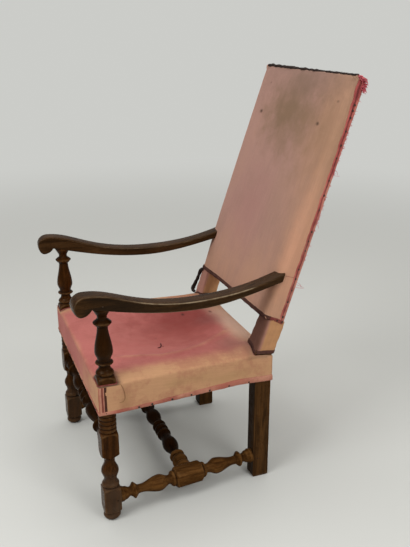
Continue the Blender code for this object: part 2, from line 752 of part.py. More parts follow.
def webbing(name, start, end, along_x, offset, first_over):
    """One strip that passes over and under the strips that cross it."""
    lift = (WEB_THICK + FIT) / 2
    stations = [(start, 0.0)]
    for i in range(WEB_COUNT):
        crossing = (i - (WEB_COUNT - 1) / 2) * WEB_PITCH + (0.0 if along_x else WEB_ORIGIN_Y)
        height = lift if (i + first_over) % 2 else -lift
        stations += [(crossing - WEB_WIDTH / 2, height), (crossing + WEB_WIDTH / 2, height)]
    stations.append((end, 0.0))
    rings = []
    for place, height in stations:
        ring = []
        for across, level in ((-1, -1), (1, -1), (1, 1), (-1, 1)):
            x, y = (place, offset + across * WEB_WIDTH / 2)
            if not along_x:
                x, y = (y, x)
            ring.append(Vector((x, y, seat_z(y, web_level() + height + level * WEB_THICK / 2))))
        rings.append(ring)
    loft(name, rings, JUTE)


def seat_webbing():
    front = FRONT_Y - POST_HALF + RAIL_SET_BACK + RAIL_THICK - WEB_LAP
    rear = LEG_REAR_Y - RAIL_SET_BACK - RAIL_THICK + WEB_LAP
    for i in range(WEB_COUNT):
        offset = (i - (WEB_COUNT - 1) / 2) * WEB_PITCH
        webbing(f"seat_web_long_{i + 1}", front, rear, False, offset, i % 2)
        y = offset + WEB_ORIGIN_Y
        share = (y - FRONT_Y - POST_HALF) / (LEG_FRONT_Y - FRONT_Y - POST_HALF)
        inner = blend(FRONT_X + POST_HALF, REAR_X + REAR_HALF, share) - RAIL_SET_BACK - RAIL_THICK
        reach = inner + WEB_LAP - WEB_WIDTH / 2 * (FRONT_X - REAR_X) / POST_SPAN
        webbing(f"seat_web_cross_{i + 1}", -reach, reach, True, y, (i + 1) % 2)


def seat_upholstery():
    hessian_low = web_level() + (WEB_THICK + FIT) / 2 + WEB_THICK / 2 + FIT
    hessian_high = hessian_low + HESSIAN_THICK
    sheet = seat_outline(-HESSIAN_SET_BACK)
    levels = (hessian_low, hessian_high)
    rings = [[Vector((x, y, seat_z(y, level))) for x, y in sheet] for level in levels]
    hessian = loft("seat_hessian", rings, HESSIAN)
    shrink = COVER_THICK + CLOTH_EASE / 2
    crown = seat_rings(shrink)
    base = [Vector((p.x, p.y, seat_z(p.y, hessian_high + FIT))) for p in crown[0]]
    stuffing = loft("seat_stuffing", [base] + crown, HORSEHAIR)
    skin = seat_rings(0.0)
    hem = [Vector((p.x, p.y, seat_z(p.y, 0.0))) for p in skin[0]]
    cover = loft("seat_cover", [hem] + skin, ROSE_CLOTH, capped=(False, True))
    shell(cover, COVER_THICK)
    for cutter in post_clearance("filling_clearance", CLOTH_EASE):
        boolean(hessian, cutter)
        boolean(stuffing, cutter)
    for cutter in post_clearance("cover_clearance", CLOTH_EASE / 2):
        boolean(cover, cutter)


def back_outline(margin):
    """The cloth's line round the back frame, margin outside the posts' outer faces."""
    low = BACK_BOTTOM - margin
    high = BACK_TOP - COVER_OUT + margin
    low_x = post_middle(low) + REAR_HALF + margin
    high_x = post_middle(high) + REAR_HALF + margin
    corners = ((-low_x, low), (low_x, low), (high_x, high), (-high_x, high))
    return divided(corners, (8, 10, 8, 10))


def back_rings(shrink):
    def place(point, height):
        return raked(point[0], -height, point[1])

    def outline(margin):
        return back_outline(COVER_OUT + margin)

    def top(point, inward):
        return BACK_PAD + BACK_CROWN * (1 - (1 - inward) ** 2)

    return cushion_rings(outline, top, shrink, place)


def edge_gimp(name, u_edge, way):
    """A braid bent round the cloth's front edge at the top or the bottom of the back."""
    centre_u = u_edge - way * COVER_ROUND
    centre_v = -BACK_PAD + COVER_ROUND
    section = []
    inner = COVER_ROUND + FIT
    turns = [math.pi / 2 * step / GIMP_STEPS for step in range(GIMP_STEPS + 1)]
    for radius, sweep in ((inner, turns), (inner + GIMP_THICK, turns[::-1])):
        for turn in sweep:
            section.append((centre_v - radius * math.sin(turn), centre_u + way * radius * math.cos(turn)))
    rings = []
    for side in (-1, 1):
        reach = post_middle(u_edge) + REAR_HALF + COVER_OUT - COVER_ROUND
        rings.append([raked(side * reach, v, u) for v, u in section])
    loft(name, rings, GIMP)


def back_upholstery():
    top_rail_top = BACK_TOP - COVER_OUT - FIT
    back_rail("back_top_rail", top_rail_top - BACK_RAIL_HEIGHT, top_rail_top)
    back_rail("back_lower_rail", BACK_BOTTOM, BACK_BOTTOM + BACK_RAIL_HEIGHT)
    sheet = back_outline(-HESSIAN_SET_BACK)
    levels = (-FIT, -FIT - HESSIAN_THICK)
    hessian = loft("back_hessian", [[raked(x, v, u) for x, u in sheet] for v in levels], HESSIAN)
    shrink = COVER_THICK + CLOTH_EASE / 2
    crown = back_rings(shrink)
    base_v = levels[1] - FIT
    base = [raked(x, base_v, u) for x, u in back_outline(COVER_OUT - shrink)]
    stuffing = loft("back_stuffing", [base] + crown, HORSEHAIR)
    skin = back_rings(0.0)
    rear_edge = [raked(x, post_depth(u), u) for x, u in back_outline(COVER_OUT)]
    cover = loft("back_cover", [rear_edge] + skin, DUSTY_CLOTH, capped=(False, True))
    shell(cover, COVER_THICK)
    outside = []
    for offset in (FIT, FIT + COVER_THICK):
        outside.append([raked(x, post_depth(u) + offset, u) for x, u in back_outline(COVER_OUT)])
    loft("back_outside_cover", outside, DUSTY_CLOTH)
    for label, side in LEFT_AND_RIGHT:
        ends = arm_clearance(label, side)
        for piece in (hessian, stuffing, cover):
            boolean(piece, ends)
        rings = rear_post_rings(side, CLOTH_EASE / 2, FIT)
        boolean(cover, loft(f"back_post_clearance_{label}", rings, hidden=True))
    edge_gimp("back_top_gimp", BACK_TOP, 1)
    edge_gimp("back_bottom_gimp", BACK_BOTTOM - COVER_OUT, -1)


def level_sleeve_ring(side, margin, z):
    """A level ring round a rear post, margin outside its faces, above or below the knee."""
    points = []
    for across, deep in ((-1, 0), (1, 0), (1, 1), (-1, 1)):
        u = rake_at(z)
        v = post_depth(u) + margin if deep else -margin
        u = rake_at(z, v)
        point = raked(side * post_middle(u) + across * (REAR_HALF + margin), v, u)
        if z < KNEE_HEIGHT:
            point.x = side * REAR_X + across * (REAR_HALF + margin)
            point.y = LEG_REAR_Y + margin if deep else knee_face_y(z) - margin
        points.append(point)
    return points


def square_sleeve_ring(side, margin, u):
    """A ring round a rear post, margin outside its faces and square to the rake."""
    points = []
    for across, deep in ((-1, 0), (1, 0), (1, 1), (-1, 1)):
        v = post_depth(u) + margin if deep else -margin
        points.append(raked(side * post_middle(u) + across * (REAR_HALF + margin), v, u))
    return points


def bend_levels(low, high):
    """The height low, and the knee's where the post bends between low and high."""
    return [low, KNEE_HEIGHT] if low < KNEE_HEIGHT < high else [low]


def post_sleeves():
    """The cloth round each rear post between seat and back, and the braid round its lower end."""
    bottom = seat_top(KNEE_Y, REAR_WIDTH / (REAR_X + REAR_HALF)) + SLEEVE_GAP
    top = BACK_BOTTOM - COVER_OUT - FIT
    braid_top = bottom + SLEEVE_GIMP
    braid_out = COVER_OUT + FIT + GIMP_THICK
    for label, side in LEFT_AND_RIGHT:
        levels = bend_levels(bottom, raked(0, 0, top).z)
        rings = [level_sleeve_ring(side, COVER_OUT, z) for z in levels]
        rings.append(square_sleeve_ring(side, COVER_OUT, top))
        sleeve = loft(f"post_sleeve_{label}", rings, DUSTY_CLOTH, capped=(False, False))
        shell(sleeve, COVER_THICK)
        levels = bend_levels(bottom, braid_top) + [braid_top]
        band = [level_sleeve_ring(side, braid_out, z) for z in levels]
        braid = loft(f"sleeve_gimp_{label}", band, GIMP, capped=(False, False))
        shell(braid, GIMP_THICK)


# The chair

for old in list(bpy.data.objects):
    bpy.data.objects.remove(old)

CHAIR = bpy.data.objects.new("chair", None)
bpy.context.scene.collection.objects.link(CHAIR)

WALNUT = finish("walnut", (0.085, 0.040, 0.020), 0.38)
PEG_WOOD = finish("peg_oak", (0.060, 0.030, 0.016), 0.5)
JUTE = finish("jute", (0.33, 0.23, 0.12), 0.95)
HESSIAN = finish("hessian", (0.40, 0.30, 0.18), 0.95)
HORSEHAIR = finish("horsehair", (0.09, 0.07, 0.055), 1.0)
ROSE_CLOTH = finish("rose_cloth", (0.52, 0.18, 0.17), 0.9)
DUSTY_CLOTH = finish("dusty_cloth", (0.50, 0.27, 0.21), 0.9)
GIMP = finish("gimp", (0.035, 0.018, 0.014), 0.85)

WEB_ORIGIN_Y = (FRONT_Y + REAR_Y) / 2

FRONT_POSTS = {}
REAR_POSTS = {}
for label, side in LEFT_AND_RIGHT:
    post = loft(f"front_post_{label}", front_post_rings(), WALNUT)
    post.location = (side * FRONT_X, FRONT_Y, 0)
    FRONT_POSTS[label] = post
    REAR_POSTS[label] = loft(f"rear_post_{label}", rear_post_rings(side), WALNUT)

cross_rail("seat_rail_front", FRONT_X - POST_HALF, FRONT_Y - POST_HALF, 1, FRONT_POSTS)
cross_rail("seat_rail_rear", REAR_X - REAR_HALF, LEG_REAR_Y, -1, REAR_POSTS)
for label, side in LEFT_AND_RIGHT:
    side_rail(label, side)
    arm(label, side)

# The side stretchers run from post to leg; the middle one joins their blocks, the front one the posts
SIDE_STRETCHERS = {}
for label, side in LEFT_AND_RIGHT:
    front_end = Vector((side * (FRONT_X - POST_HALF * SIDE_SLOPE), FRONT_Y + POST_HALF, STRETCHER_Z))
    rear_end = Vector((side * (REAR_X + REAR_DEPTH / 2 * SIDE_SLOPE), LEG_FRONT_Y, STRETCHER_Z))
    slants = (-side * SIDE_SLOPE, -side * SIDE_SLOPE)
    piece = stretcher(f"side_stretcher_{label}", front_end, rear_end, SIDE_PATTERN, slants, True)
    SIDE_STRETCHERS[label] = piece
    run = (rear_end - front_end).length
    socket(FRONT_POSTS[label], piece, run, -1)
    socket(REAR_POSTS[label], piece, run, 1)
    pin = STRETCHER_TENON_LENGTH / 2
    inwards = Vector((-side, 0, 0))
    start = Vector((side * (FRONT_X + POST_HALF), front_end.y - pin, STRETCHER_Z))
    peg(f"side_stretcher_front_peg_{label}", start, inwards, LONG_PEG_LENGTH, (FRONT_POSTS[label], piece))
    start = Vector((side * (REAR_X + REAR_HALF), rear_end.y + pin, STRETCHER_Z))
    peg(f"side_stretcher_rear_peg_{label}", start, inwards, LONG_PEG_LENGTH, (REAR_POSTS[label], piece))

block_middle = (front_end + rear_end) / 2
block_face = abs(block_middle.x) - STRETCHER_BLOCK / 2 * math.hypot(1, SIDE_SLOPE)
ends = [Vector((side * block_face, block_middle.y, STRETCHER_Z)) for side in (-1, 1)]
middle = stretcher("middle_stretcher", *ends, MIDDLE_PATTERN, (-SIDE_SLOPE, SIDE_SLOPE))
for label, side in LEFT_AND_RIGHT:
    socket(SIDE_STRETCHERS[label], middle, 2 * block_face, side)
    pin = STRETCHER_TENON_LENGTH - PEG_DIAMETER
    start = Vector((side * (block_face + pin), block_middle.y, STRETCHER_Z + STRETCHER_BLOCK / 2))
    pinned = (SIDE_STRETCHERS[label], middle)
    peg(f"middle_stretcher_peg_{label}", start, Vector((0, 0, -1)), LONG_PEG_LENGTH, pinned)

post_face = FRONT_X - POST_HALF
ends = [Vector((side * post_face, FRONT_Y, UPPER_BLOCK_HEIGHT)) for side in (-1, 1)]
front = stretcher("front_stretcher", *ends, FRONT_PATTERN)
for label, side in LEFT_AND_RIGHT:
    socket(FRONT_POSTS[label], front, 2 * post_face, side)
    pin = STRETCHER_TENON_LENGTH / 2
    start = Vector((side * (post_face + pin), FRONT_Y - POST_HALF, UPPER_BLOCK_HEIGHT))
    pinned = (FRONT_POSTS[label], front)
    peg(f"front_stretcher_peg_{label}", start, Vector((0, 1, 0)), LONG_PEG_LENGTH, pinned)

seat_webbing()
seat_upholstery()
back_upholstery()
post_sleeves()

# The origin lies on the floor under the middle of the whole chair
bpy.context.view_layer.update()
reach = []
for piece in CHAIR.children:
    if not piece.hide_render:
        reach += [(piece.matrix_world @ Vector(corner)).y for corner in piece.bound_box]
CHAIR.location.y = -(min(reach) + max(reach)) / 2
print(f"front post axes at y = {CHAIR.location.y + FRONT_Y:.4f} m")
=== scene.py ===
import math
import random
from contextlib import contextmanager

import bmesh
import bpy
from mathutils import Matrix, Vector, noise
from mathutils.geometry import interpolate_bezier, tessellate_polygon


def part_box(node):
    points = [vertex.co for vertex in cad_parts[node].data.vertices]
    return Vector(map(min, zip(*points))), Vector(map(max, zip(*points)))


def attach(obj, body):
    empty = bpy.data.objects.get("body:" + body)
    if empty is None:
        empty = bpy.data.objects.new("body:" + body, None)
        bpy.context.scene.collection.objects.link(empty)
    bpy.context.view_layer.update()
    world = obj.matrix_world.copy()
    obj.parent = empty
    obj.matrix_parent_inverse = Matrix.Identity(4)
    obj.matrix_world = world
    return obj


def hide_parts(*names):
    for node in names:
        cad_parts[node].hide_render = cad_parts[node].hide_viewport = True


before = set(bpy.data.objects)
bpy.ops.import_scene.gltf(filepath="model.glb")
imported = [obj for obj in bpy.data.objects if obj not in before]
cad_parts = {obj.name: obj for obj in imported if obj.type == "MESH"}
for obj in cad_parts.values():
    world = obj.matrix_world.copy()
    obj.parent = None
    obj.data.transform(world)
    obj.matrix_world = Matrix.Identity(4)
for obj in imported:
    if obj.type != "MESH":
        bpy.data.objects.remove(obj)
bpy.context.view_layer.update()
scene = bpy.context.scene
scene.view_settings.view_transform = "Standard"
print("frame loaded")


def lerp(start, end, share):
    return start + (end - start) * share


def smooth(value, low, high):
    share = min(max((value - low) / (high - low), 0.0), 1.0)
    return share * share * (3 - 2 * share)


def wander(point, scale, seed=0.0):
    return noise.noise(Vector(point) * scale + Vector((seed, seed * 1.7, -seed)))


def placed(name, data):
    made = bpy.data.objects.new(name, data)
    scene.collection.objects.link(made)
    return made


# camera and lamps

camera = {
    "place": (1.951, -0.6951, 1.349),
    "azimuth": 68.87,  # degrees round from straight in front
    "elevation": 19.56,
    "focalPixels": 700,
    "imageHeight": 547,
    "sensor": 36,
}


def makeCamera():
    lens = bpy.data.cameras.new("camera")
    lens.sensor_width = camera["sensor"]
    lens.lens = camera["focalPixels"] / camera["imageHeight"] * camera["sensor"]
    eye = placed("camera", lens)
    eye.location = camera["place"]
    eye.rotation_euler = (math.radians(90 - camera["elevation"]), 0, math.radians(camera["azimuth"]))
    scene.camera = eye


lamps = [  # place, aim, size, watts
    ((0.9, -2.1, 2.8), (0, 0, 0.5), 1.5, 50),
    ((3.0, 0.9, 2.2), (0, 0, 0.5), 1.3, 40),
    ((-0.8, 0.2, 3.2), (0, 0, 0.6), 1.6, 14),
]


def makeLamps():
    for number, (place, aim, size, watts) in enumerate(lamps):
        light = bpy.data.lights.new(f"softbox{number}", "AREA")
        light.size, light.energy = size, watts
        lamp = placed(f"softbox{number}", light)
        lamp.location = place
        lamp.rotation_euler = (Vector(aim) - Vector(place)).to_track_quat("-Z", "Y").to_euler()


# a node tree and short ways to add to it
class Nodes:
    def __init__(self, tree):
        self.tree = tree

    def feed(self, socket, value):
        if isinstance(value, bpy.types.NodeSocket):
            self.tree.links.new(value, socket)
        else:
            socket.default_value = (*value, 1) if socket.type == "RGBA" and len(value) == 3 else value

    def add(self, kind, inputs=None, **settings):
        made = self.tree.nodes.new(f"ShaderNode{kind}")
        for key, value in settings.items():
            setattr(made, key, value)
        for key, value in (inputs or {}).items():
            self.feed(made.inputs[key], value)
        return made.outputs

    def mix(self, factor, first, second):
        return self.add("Mix", {0: factor, 6: first, 7: second}, data_type="RGBA")[2]

    def times(self, first, second):
        return self.add("Math", {0: first, 1: second}, operation="MULTIPLY")[0]

    def plus(self, first, second):
        return self.add("Math", {0: first, 1: second}, operation="ADD")[0]

    def minus(self, first, second):
        return self.add("Math", {0: first, 1: second}, operation="SUBTRACT")[0]

    def ranged(self, value, low, high, toLow=0.0, toHigh=1.0):
        inputs = {"Value": value, "From Min": low, "From Max": high, "To Min": toLow, "To Max": toHigh}
        return self.add("MapRange", inputs, interpolation_type="SMOOTHSTEP")[0]

    def noisy(self, vector, scale, detail=4.0, rough=0.55, bent=0.0):
        inputs = {"Vector": vector, "Scale": scale, "Detail": detail, "Roughness": rough, "Distortion": bent}
        return self.add("TexNoise", inputs)["Fac"]

    def stretched(self, vector, scale):
        return self.add("Mapping", {"Vector": vector, "Scale": scale})[0]

    def marked(self, name):
        return self.add("Attribute", attribute_name=name)["Fac"]

    def bump(self, height, strength, distance):
        return self.add("Bump", {"Height": height, "Strength": strength, "Distance": distance})[0]

    def group(self, shared, inputs):
        return self.add("Group", inputs, node_tree=shared)

    def dress(self, values):
        for key, value in values.items():
            self.feed(self.tree.nodes["Principled BSDF"].inputs[key], value)


def newMaterial(name):
    made = bpy.data.materials.new(name)
    made.use_nodes = True
    nodes = Nodes(made.node_tree)
    return made, nodes, nodes.add("TexCoord")["Object"]


def newGroup(name, inputs, outputs):
    group = bpy.data.node_groups.new(name, "ShaderNodeTree")
    for way, sockets in (("INPUT", inputs), ("OUTPUT", outputs)):
        for label, kind in sockets.items():
            group.interface.new_socket(name=label, in_out=way, socket_type=f"NodeSocket{kind}")
    given = group.nodes.new("NodeGroupInput").outputs
    return group, Nodes(group), given, group.nodes.new("NodeGroupOutput").inputs


# shared effects

def makeGrainGroup():
    inputs = {"Vector": "Vector", "Dark": "Color", "Light": "Color", "Contrast": "Float"}
    group, nodes, given, out = newGroup("woodGrain", inputs, {"Color": "Color", "Height": "Float"})
    figure = nodes.noisy(given["Vector"], 1.0, 6.0, 0.6, 0.6)
    streaks = nodes.noisy(given["Vector"], 4.5, 4.0, 0.7)
    pores = nodes.ranged(nodes.noisy(given["Vector"], 16.0, 2.0, 0.5), 0.50, 0.68)
    both = nodes.plus(nodes.times(figure, 0.65), nodes.times(streaks, 0.35))
    spread = nodes.times(nodes.minus(both, 0.5), given["Contrast"])
    colour = nodes.mix(nodes.ranged(nodes.plus(spread, 0.5), 0.30, 0.70), given["Dark"], given["Light"])
    nodes.feed(out["Color"], nodes.mix(nodes.times(pores, 0.45), colour, given["Dark"]))
    nodes.feed(out["Height"], nodes.minus(both, nodes.times(pores, 0.5)))
    return group


def makeWearGroup():
    inputs = {"Vector": "Vector", "Edge": "Float", "Amount": "Float", "Broken": "Float"}
    group, nodes, given, out = newGroup("edgeWear", inputs, {"Mask": "Float"})
    patches = nodes.noisy(given["Vector"], 38.0, 5.0, 0.65)
    least = nodes.minus(1.0, nodes.times(given["Broken"], 0.85))
    broken = nodes.times(given["Edge"], nodes.ranged(patches, 0.32, 0.66, least, 1.15))
    nodes.feed(out["Mask"], nodes.times(nodes.ranged(broken, 0.10, 0.75), given["Amount"]))
    return group


# Threads 314 is one thread each millimetre
def makeWeaveGroup():
    inputs = {"Vector": "Vector", "Threads": "Float"}
    group, nodes, given, out = newGroup("linenWeave", inputs, {"Shade": "Float", "Height": "Float"})
    wave = {"Vector": given["Vector"], "Scale": given["Threads"], "Distortion": 1.2, "Detail": 1.0, "Detail Scale": 0.6}
    warp, weft = (nodes.add("TexWave", wave, bands_direction=way)["Fac"] for way in "XY")
    knit = nodes.times(warp, weft)
    along, across = (nodes.noisy(nodes.stretched(given["Vector"], scale), 1.0, 3.0)
                     for scale in ((260, 14, 1), (14, 260, 1)))
    slubs = nodes.plus(nodes.times(along, 0.75), nodes.times(across, 0.25))
    shade = nodes.plus(nodes.times(knit, 0.25), nodes.ranged(slubs, 0.36, 0.64, 0.0, 0.75))
    nodes.feed(out["Shade"], shade)
    nodes.feed(out["Height"], nodes.plus(knit, nodes.times(slubs, 0.8)))
    return group


def makeStainGroup():
    inputs = {"Vector": "Vector", "Centre": "Vector", "Reach": "Vector", "Ragged": "Float"}
    group, nodes, given, out = newGroup("stain", inputs, {"Mask": "Float"})
    away = nodes.add("VectorMath", {0: given["Vector"], 1: given["Centre"]}, operation="SUBTRACT")[0]
    scaled = nodes.add("VectorMath", {0: away, 1: given["Reach"]}, operation="DIVIDE")[0]
    distance = nodes.add("VectorMath", {0: scaled}, operation="LENGTH")["Value"]
    blots = nodes.minus(nodes.noisy(given["Vector"], 17.0, 7.0, 0.62), 0.5)
    nodes.feed(out["Mask"], nodes.ranged(nodes.plus(distance, nodes.times(blots, given["Ragged"])), 1.05, 0.0))
    return group


grainGroup, wearGroup = makeGrainGroup(), makeWearGroup()
weaveGroup, stainGroup = makeWeaveGroup(), makeStainGroup()
print("shader groups made")


# finishes

wood = {
    "grain": {"x": (7, 90, 90), "y": (90, 7, 90), "z": (90, 90, 7)},
    "tint": (1.0, 0.80, 0.55),
    # near black: dust in the hollows, and painted shade under and in front of parts
    "soilAndShade": (0.006, 0.004, 0.003),
    "rub": (0.085, 0.058, 0.039),
    "rubbed": (0.19, 0.09),  # heights between which a post turns grey
    "nearDark": (0.42, 0.50),  # and dark, on the near side
}


def makeWalnut(name, axis, dark, light, worn, contrast=1.0, wear=0.45, gloss=0.30, shine=0.07, broken=1.0, scuffed=0):
    made, nodes, place = newMaterial(name)
    grain = nodes.group(grainGroup, {"Vector": nodes.stretched(place, wood["grain"][axis]), "Dark": dark,
                                     "Light": light, "Contrast": contrast})
    edges = {"Vector": place, "Edge": nodes.marked("wear"), "Amount": wear, "Broken": broken}
    # this mark holds dust in the hollows, and painted shade
    soilAndShade = nodes.ranged(nodes.marked("soilAndShade"), 0.05, 0.7)
    patches = nodes.ranged(nodes.noisy(place, 9.0, 5.0, 0.6), 0.35, 0.72)
    colour = nodes.mix(nodes.times(patches, 0.35), grain["Color"], dark)
    if scuffed:
        x, y, height = nodes.add("SeparateXYZ", {0: place})
        low = nodes.times(nodes.ranged(height, *wood["rubbed"]), nodes.ranged(patches, 0.0, 1.0, 1.0, 0.55))
        colour = nodes.mix(nodes.times(low, scuffed), colour, wood["rub"])
        nearDarkening = nodes.times(nodes.ranged(height, *wood["nearDark"]), nodes.ranged(x, -0.05, 0.05, 0.0, 0.8))
        colour = nodes.mix(nearDarkening, colour, dark)
    colour = nodes.mix(nodes.group(wearGroup, edges)["Mask"], colour, worn)
    scuffs = nodes.ranged(nodes.noisy(place, 55.0, 4.0, 0.6), 0.3, 0.75, gloss - 0.07, gloss + 0.16)
    nodes.dress({
        "Base Color": nodes.mix(nodes.times(soilAndShade, 0.75), colour, wood["soilAndShade"]),
        "Roughness": nodes.plus(scuffs, nodes.times(soilAndShade, 0.25)),
        "Specular IOR Level": shine,
        "Specular Tint": wood["tint"],
        "Normal": nodes.bump(grain["Height"], 0.25, 0.0005),
    })
    return made


walnutPost = makeWalnut("walnutPost", "z", (0.0125, 0.0039, 0.0007), (0.072, 0.0245, 0.0050), (0.13, 0.066, 0.024),
                        wear=0.32, gloss=0.26, shine=0.06, scuffed=0.45)
walnutLeg = makeWalnut("walnutLeg", "z", (0.019, 0.0075, 0.0018), (0.080, 0.034, 0.0095), (0.13, 0.066, 0.026),
                       contrast=1.3, wear=0.4, shine=0.06)
walnutSide = makeWalnut("walnutSide", "y", (0.030, 0.0110, 0.0023), (0.138, 0.060, 0.0165), (0.18, 0.092, 0.034),
                        contrast=1.2, wear=0.35, gloss=0.32, shine=0.015)
# painted shade: the pieces that run across under the seat and the back take this much darker walnut
shadedWalnut = makeWalnut("shadedWalnut", "x", (0.006, 0.0020, 0.0004), (0.028, 0.0095, 0.0017), (0.08, 0.036, 0.011),
                         wear=0.4, gloss=0.28, shine=0.02)
# the arms' worn colour is a pale line along the outer arris: painted highlight, with rubbed wear
walnutArm = makeWalnut("walnutArm", "y", (0.0135, 0.0056, 0.0017), (0.062, 0.0285, 0.0100), (0.27, 0.205, 0.13),
                       wear=0.80, gloss=0.20, shine=0.066, broken=0.35)
# painted highlight: the arm pegs' ends are pale
highlitArmPeg = makeWalnut("highlitArmPeg", "x", (0.11, 0.085, 0.062), (0.20, 0.165, 0.13), (0.22, 0.18, 0.14))
pegWood = makeWalnut("pegWood", "z", (0.004, 0.0016, 0.0005), (0.012, 0.005, 0.002), (0.05, 0.028, 0.014))

linen = {
    "threads": 290.0,
    "soilAndShade": (0.10, 0.055, 0.035),
    "shine": {"Specular IOR Level": 0.25, "Specular Tint": (1.0, 0.78, 0.68), "Sheen Weight": 0.12,
              "Sheen Roughness": 0.45, "Sheen Tint": (1.0, 0.58, 0.48)},
}


# a "fade" mark on the mesh goes from the kept colour to the worn one; the mottling runs with the threads
def makeLinen(name, kept, worn, deep, stains=(), depth=0.35, soilAndShade=linen["soilAndShade"], run=(1, 1, 1)):
    made, nodes, place = newMaterial(name)
    cloth = nodes.add("UVMap", uv_map="cloth")[0]
    weave = nodes.group(weaveGroup, {"Vector": cloth, "Threads": linen["threads"]})
    drawn = nodes.stretched(place, run)
    blotch, fine = nodes.noisy(drawn, 7.0, 6.0, 0.62), nodes.noisy(drawn, 42.0, 5.0, 0.65)
    fade = nodes.plus(nodes.marked("fade"), nodes.times(nodes.minus(blotch, 0.5), 0.9))
    colour = nodes.mix(nodes.ranged(fade, 0.05, 0.95), kept, worn)
    patch = nodes.ranged(nodes.plus(blotch, nodes.times(fine, 0.6)), 0.86, 0.62)
    colour = nodes.mix(nodes.times(patch, depth), colour, deep)
    # this mark darkens the cloth: dirt, and painted shade
    colour = nodes.mix(nodes.times(nodes.marked("soilAndShade"), 0.85), colour, soilAndShade)
    for centre, reach, ragged, strength, tint in stains:
        spot = {"Vector": place, "Centre": centre, "Reach": reach, "Ragged": ragged}
        colour = nodes.mix(nodes.times(nodes.group(stainGroup, spot)["Mask"], strength), colour, tint)
    shade = nodes.ranged(weave["Shade"], 0.0, 1.0, 0.955, 1.03)
    nodes.dress({
        "Base Color": nodes.add("VectorMath", {0: colour, "Scale": shade}, operation="SCALE")[0],
        "Roughness": nodes.ranged(fine, 0.3, 0.7, 0.82, 0.96),
        "Normal": nodes.bump(weave["Height"], 0.35, 0.0006),
        **linen["shine"],
    })
    return made


seatStains = [  # centre, reach, ragged, strength, tint
    ((-0.05, 0.0, 0.44), (0.225, 0.25, 0.12), 0.9, 0.95, (0.155, 0.021, 0.018)),
    ((0.06, -0.07, 0.44), (0.20, 0.25, 0.12), 1.1, 0.50, (0.25, 0.054, 0.046)),
    ((0.035, -0.12, 0.44), (0.009, 0.008, 0.03), 0.4, 0.7, (0.12, 0.035, 0.03)),
    ((0.306, -0.29, 0.385), (0.03, 0.030, 0.050), 0.5, 0.40, (0.24, 0.12, 0.05)),
    ((0.29, -0.10, 0.40), (0.04, 0.15, 0.020), 1.8, 0.40, (0.33, 0.20, 0.09)),
    ((0.27, 0.05, 0.38), (0.04, 0.13, 0.020), 1.8, 0.40, (0.33, 0.20, 0.09)),
    ((0.05, 0.15, 0.44), (0.30, 0.075, 0.05), 0.7, 0.85, (0.56, 0.375, 0.285)),
    ((0.19, 0.085, 0.45), (0.10, 0.085, 0.05), 0.9, 0.70, (0.24, 0.105, 0.080)),
    ((-0.02, 0.075, 0.44), (0.055, 0.07, 0.05), 0.9, 0.55, (0.17, 0.05, 0.045)),
    ((-0.097, 0.016, 0.43), (0.013, 0.008, 0.04), 0.3, 1.0, (0.035, 0.006, 0.005)),
    ((-0.077, 0.107, 0.43), (0.014, 0.008, 0.04), 0.3, 1.0, (0.060, 0.010, 0.009)),
]
backStains = [
    ((0.0, 0.34, 1.10), (0.24, 0.25, 0.18), 1.4, 0.80, (0.165, 0.106, 0.056)),
    ((0.23, 0.35, 1.06), (0.20, 0.25, 0.26), 1.4, 0.50, (0.25, 0.145, 0.085)),
    ((0.05, 0.39, 1.21), (0.42, 0.25, 0.11), 1.0, 0.60, (0.20, 0.125, 0.095)),
    ((-0.191, 0.334, 1.08), (0.014, 0.03, 0.009), 0.4, 1.0, (0.06, 0.03, 0.02)),
    ((0.178, 0.335, 1.083), (0.012, 0.03, 0.008), 0.4, 1.0, (0.07, 0.04, 0.026)),
    ((0.24, 0.37, 1.15), (0.010, 0.03, 0.006), 0.4, 0.9, (0.09, 0.05, 0.035)),
    ((-0.19, 0.38, 1.17), (0.009, 0.03, 0.006), 0.4, 0.8, (0.10, 0.055, 0.04)),
    ((-0.05, 0.20, 0.80), (0.20, 0.19, 0.20), 0.9, 0.45, (0.34, 0.165, 0.145)),
    ((0.10, 0.22, 0.85), (0.09, 0.20, 0.30), 1.2, 0.35, (0.30, 0.185, 0.125)),
    ((0.27, 0.22, 0.72), (0.07, 0.22, 0.36), 0.9, 0.75, (0.52, 0.265, 0.165)),
]
roseLinen = makeLinen("roseLinen", (0.378, 0.116, 0.102), (0.46, 0.252, 0.133), (0.25, 0.060, 0.050), seatStains)
dustyLinen = makeLinen("dustyLinen", (0.352, 0.201, 0.165), (0.405, 0.228, 0.147), (0.275, 0.162, 0.118),
                       backStains, run=(1, 1, 0.35))
outsideLinen = makeLinen("outsideLinen", (0.352, 0.195, 0.155), (0.405, 0.228, 0.147), (0.275, 0.162, 0.118),
                         run=(1, 1, 0.35))
# its darkest colour paints the near sleeve's front face: painted shade, with dirt
sleeveLinen = makeLinen("sleeveLinen", (0.36, 0.175, 0.135), (0.42, 0.215, 0.10), (0.28, 0.13, 0.075),
                        soilAndShade=(0.062, 0.024, 0.014))
hemLinen = makeLinen("hemLinen", (0.315, 0.076, 0.056), (0.44, 0.205, 0.135), (0.17, 0.026, 0.022), depth=0.5,
                     soilAndShade=(0.050, 0.016, 0.009))
edgeLinen = makeLinen("edgeLinen", (0.40, 0.092, 0.080), (0.50, 0.215, 0.155), (0.16, 0.018, 0.024), depth=0.6,
                      soilAndShade=(0.055, 0.012, 0.012))


def makeBraid(name, dark, light):
    made, nodes, place = newMaterial(name)
    fibres = nodes.noisy(place, 420.0, 3.0, 0.7)
    patches = nodes.ranged(nodes.noisy(place, 26.0, 4.0, 0.6), 0.3, 0.7, 0.35, 1.0)
    nodes.dress({
        "Base Color": nodes.mix(nodes.times(nodes.ranged(fibres, 0.35, 0.7), patches), dark, light),
        "Roughness": nodes.ranged(fibres, 0.3, 0.7, 0.75, 0.95),
        "Specular IOR Level": 0.2,
        "Normal": nodes.bump(fibres, 0.6, 0.0006),
    })
    return made


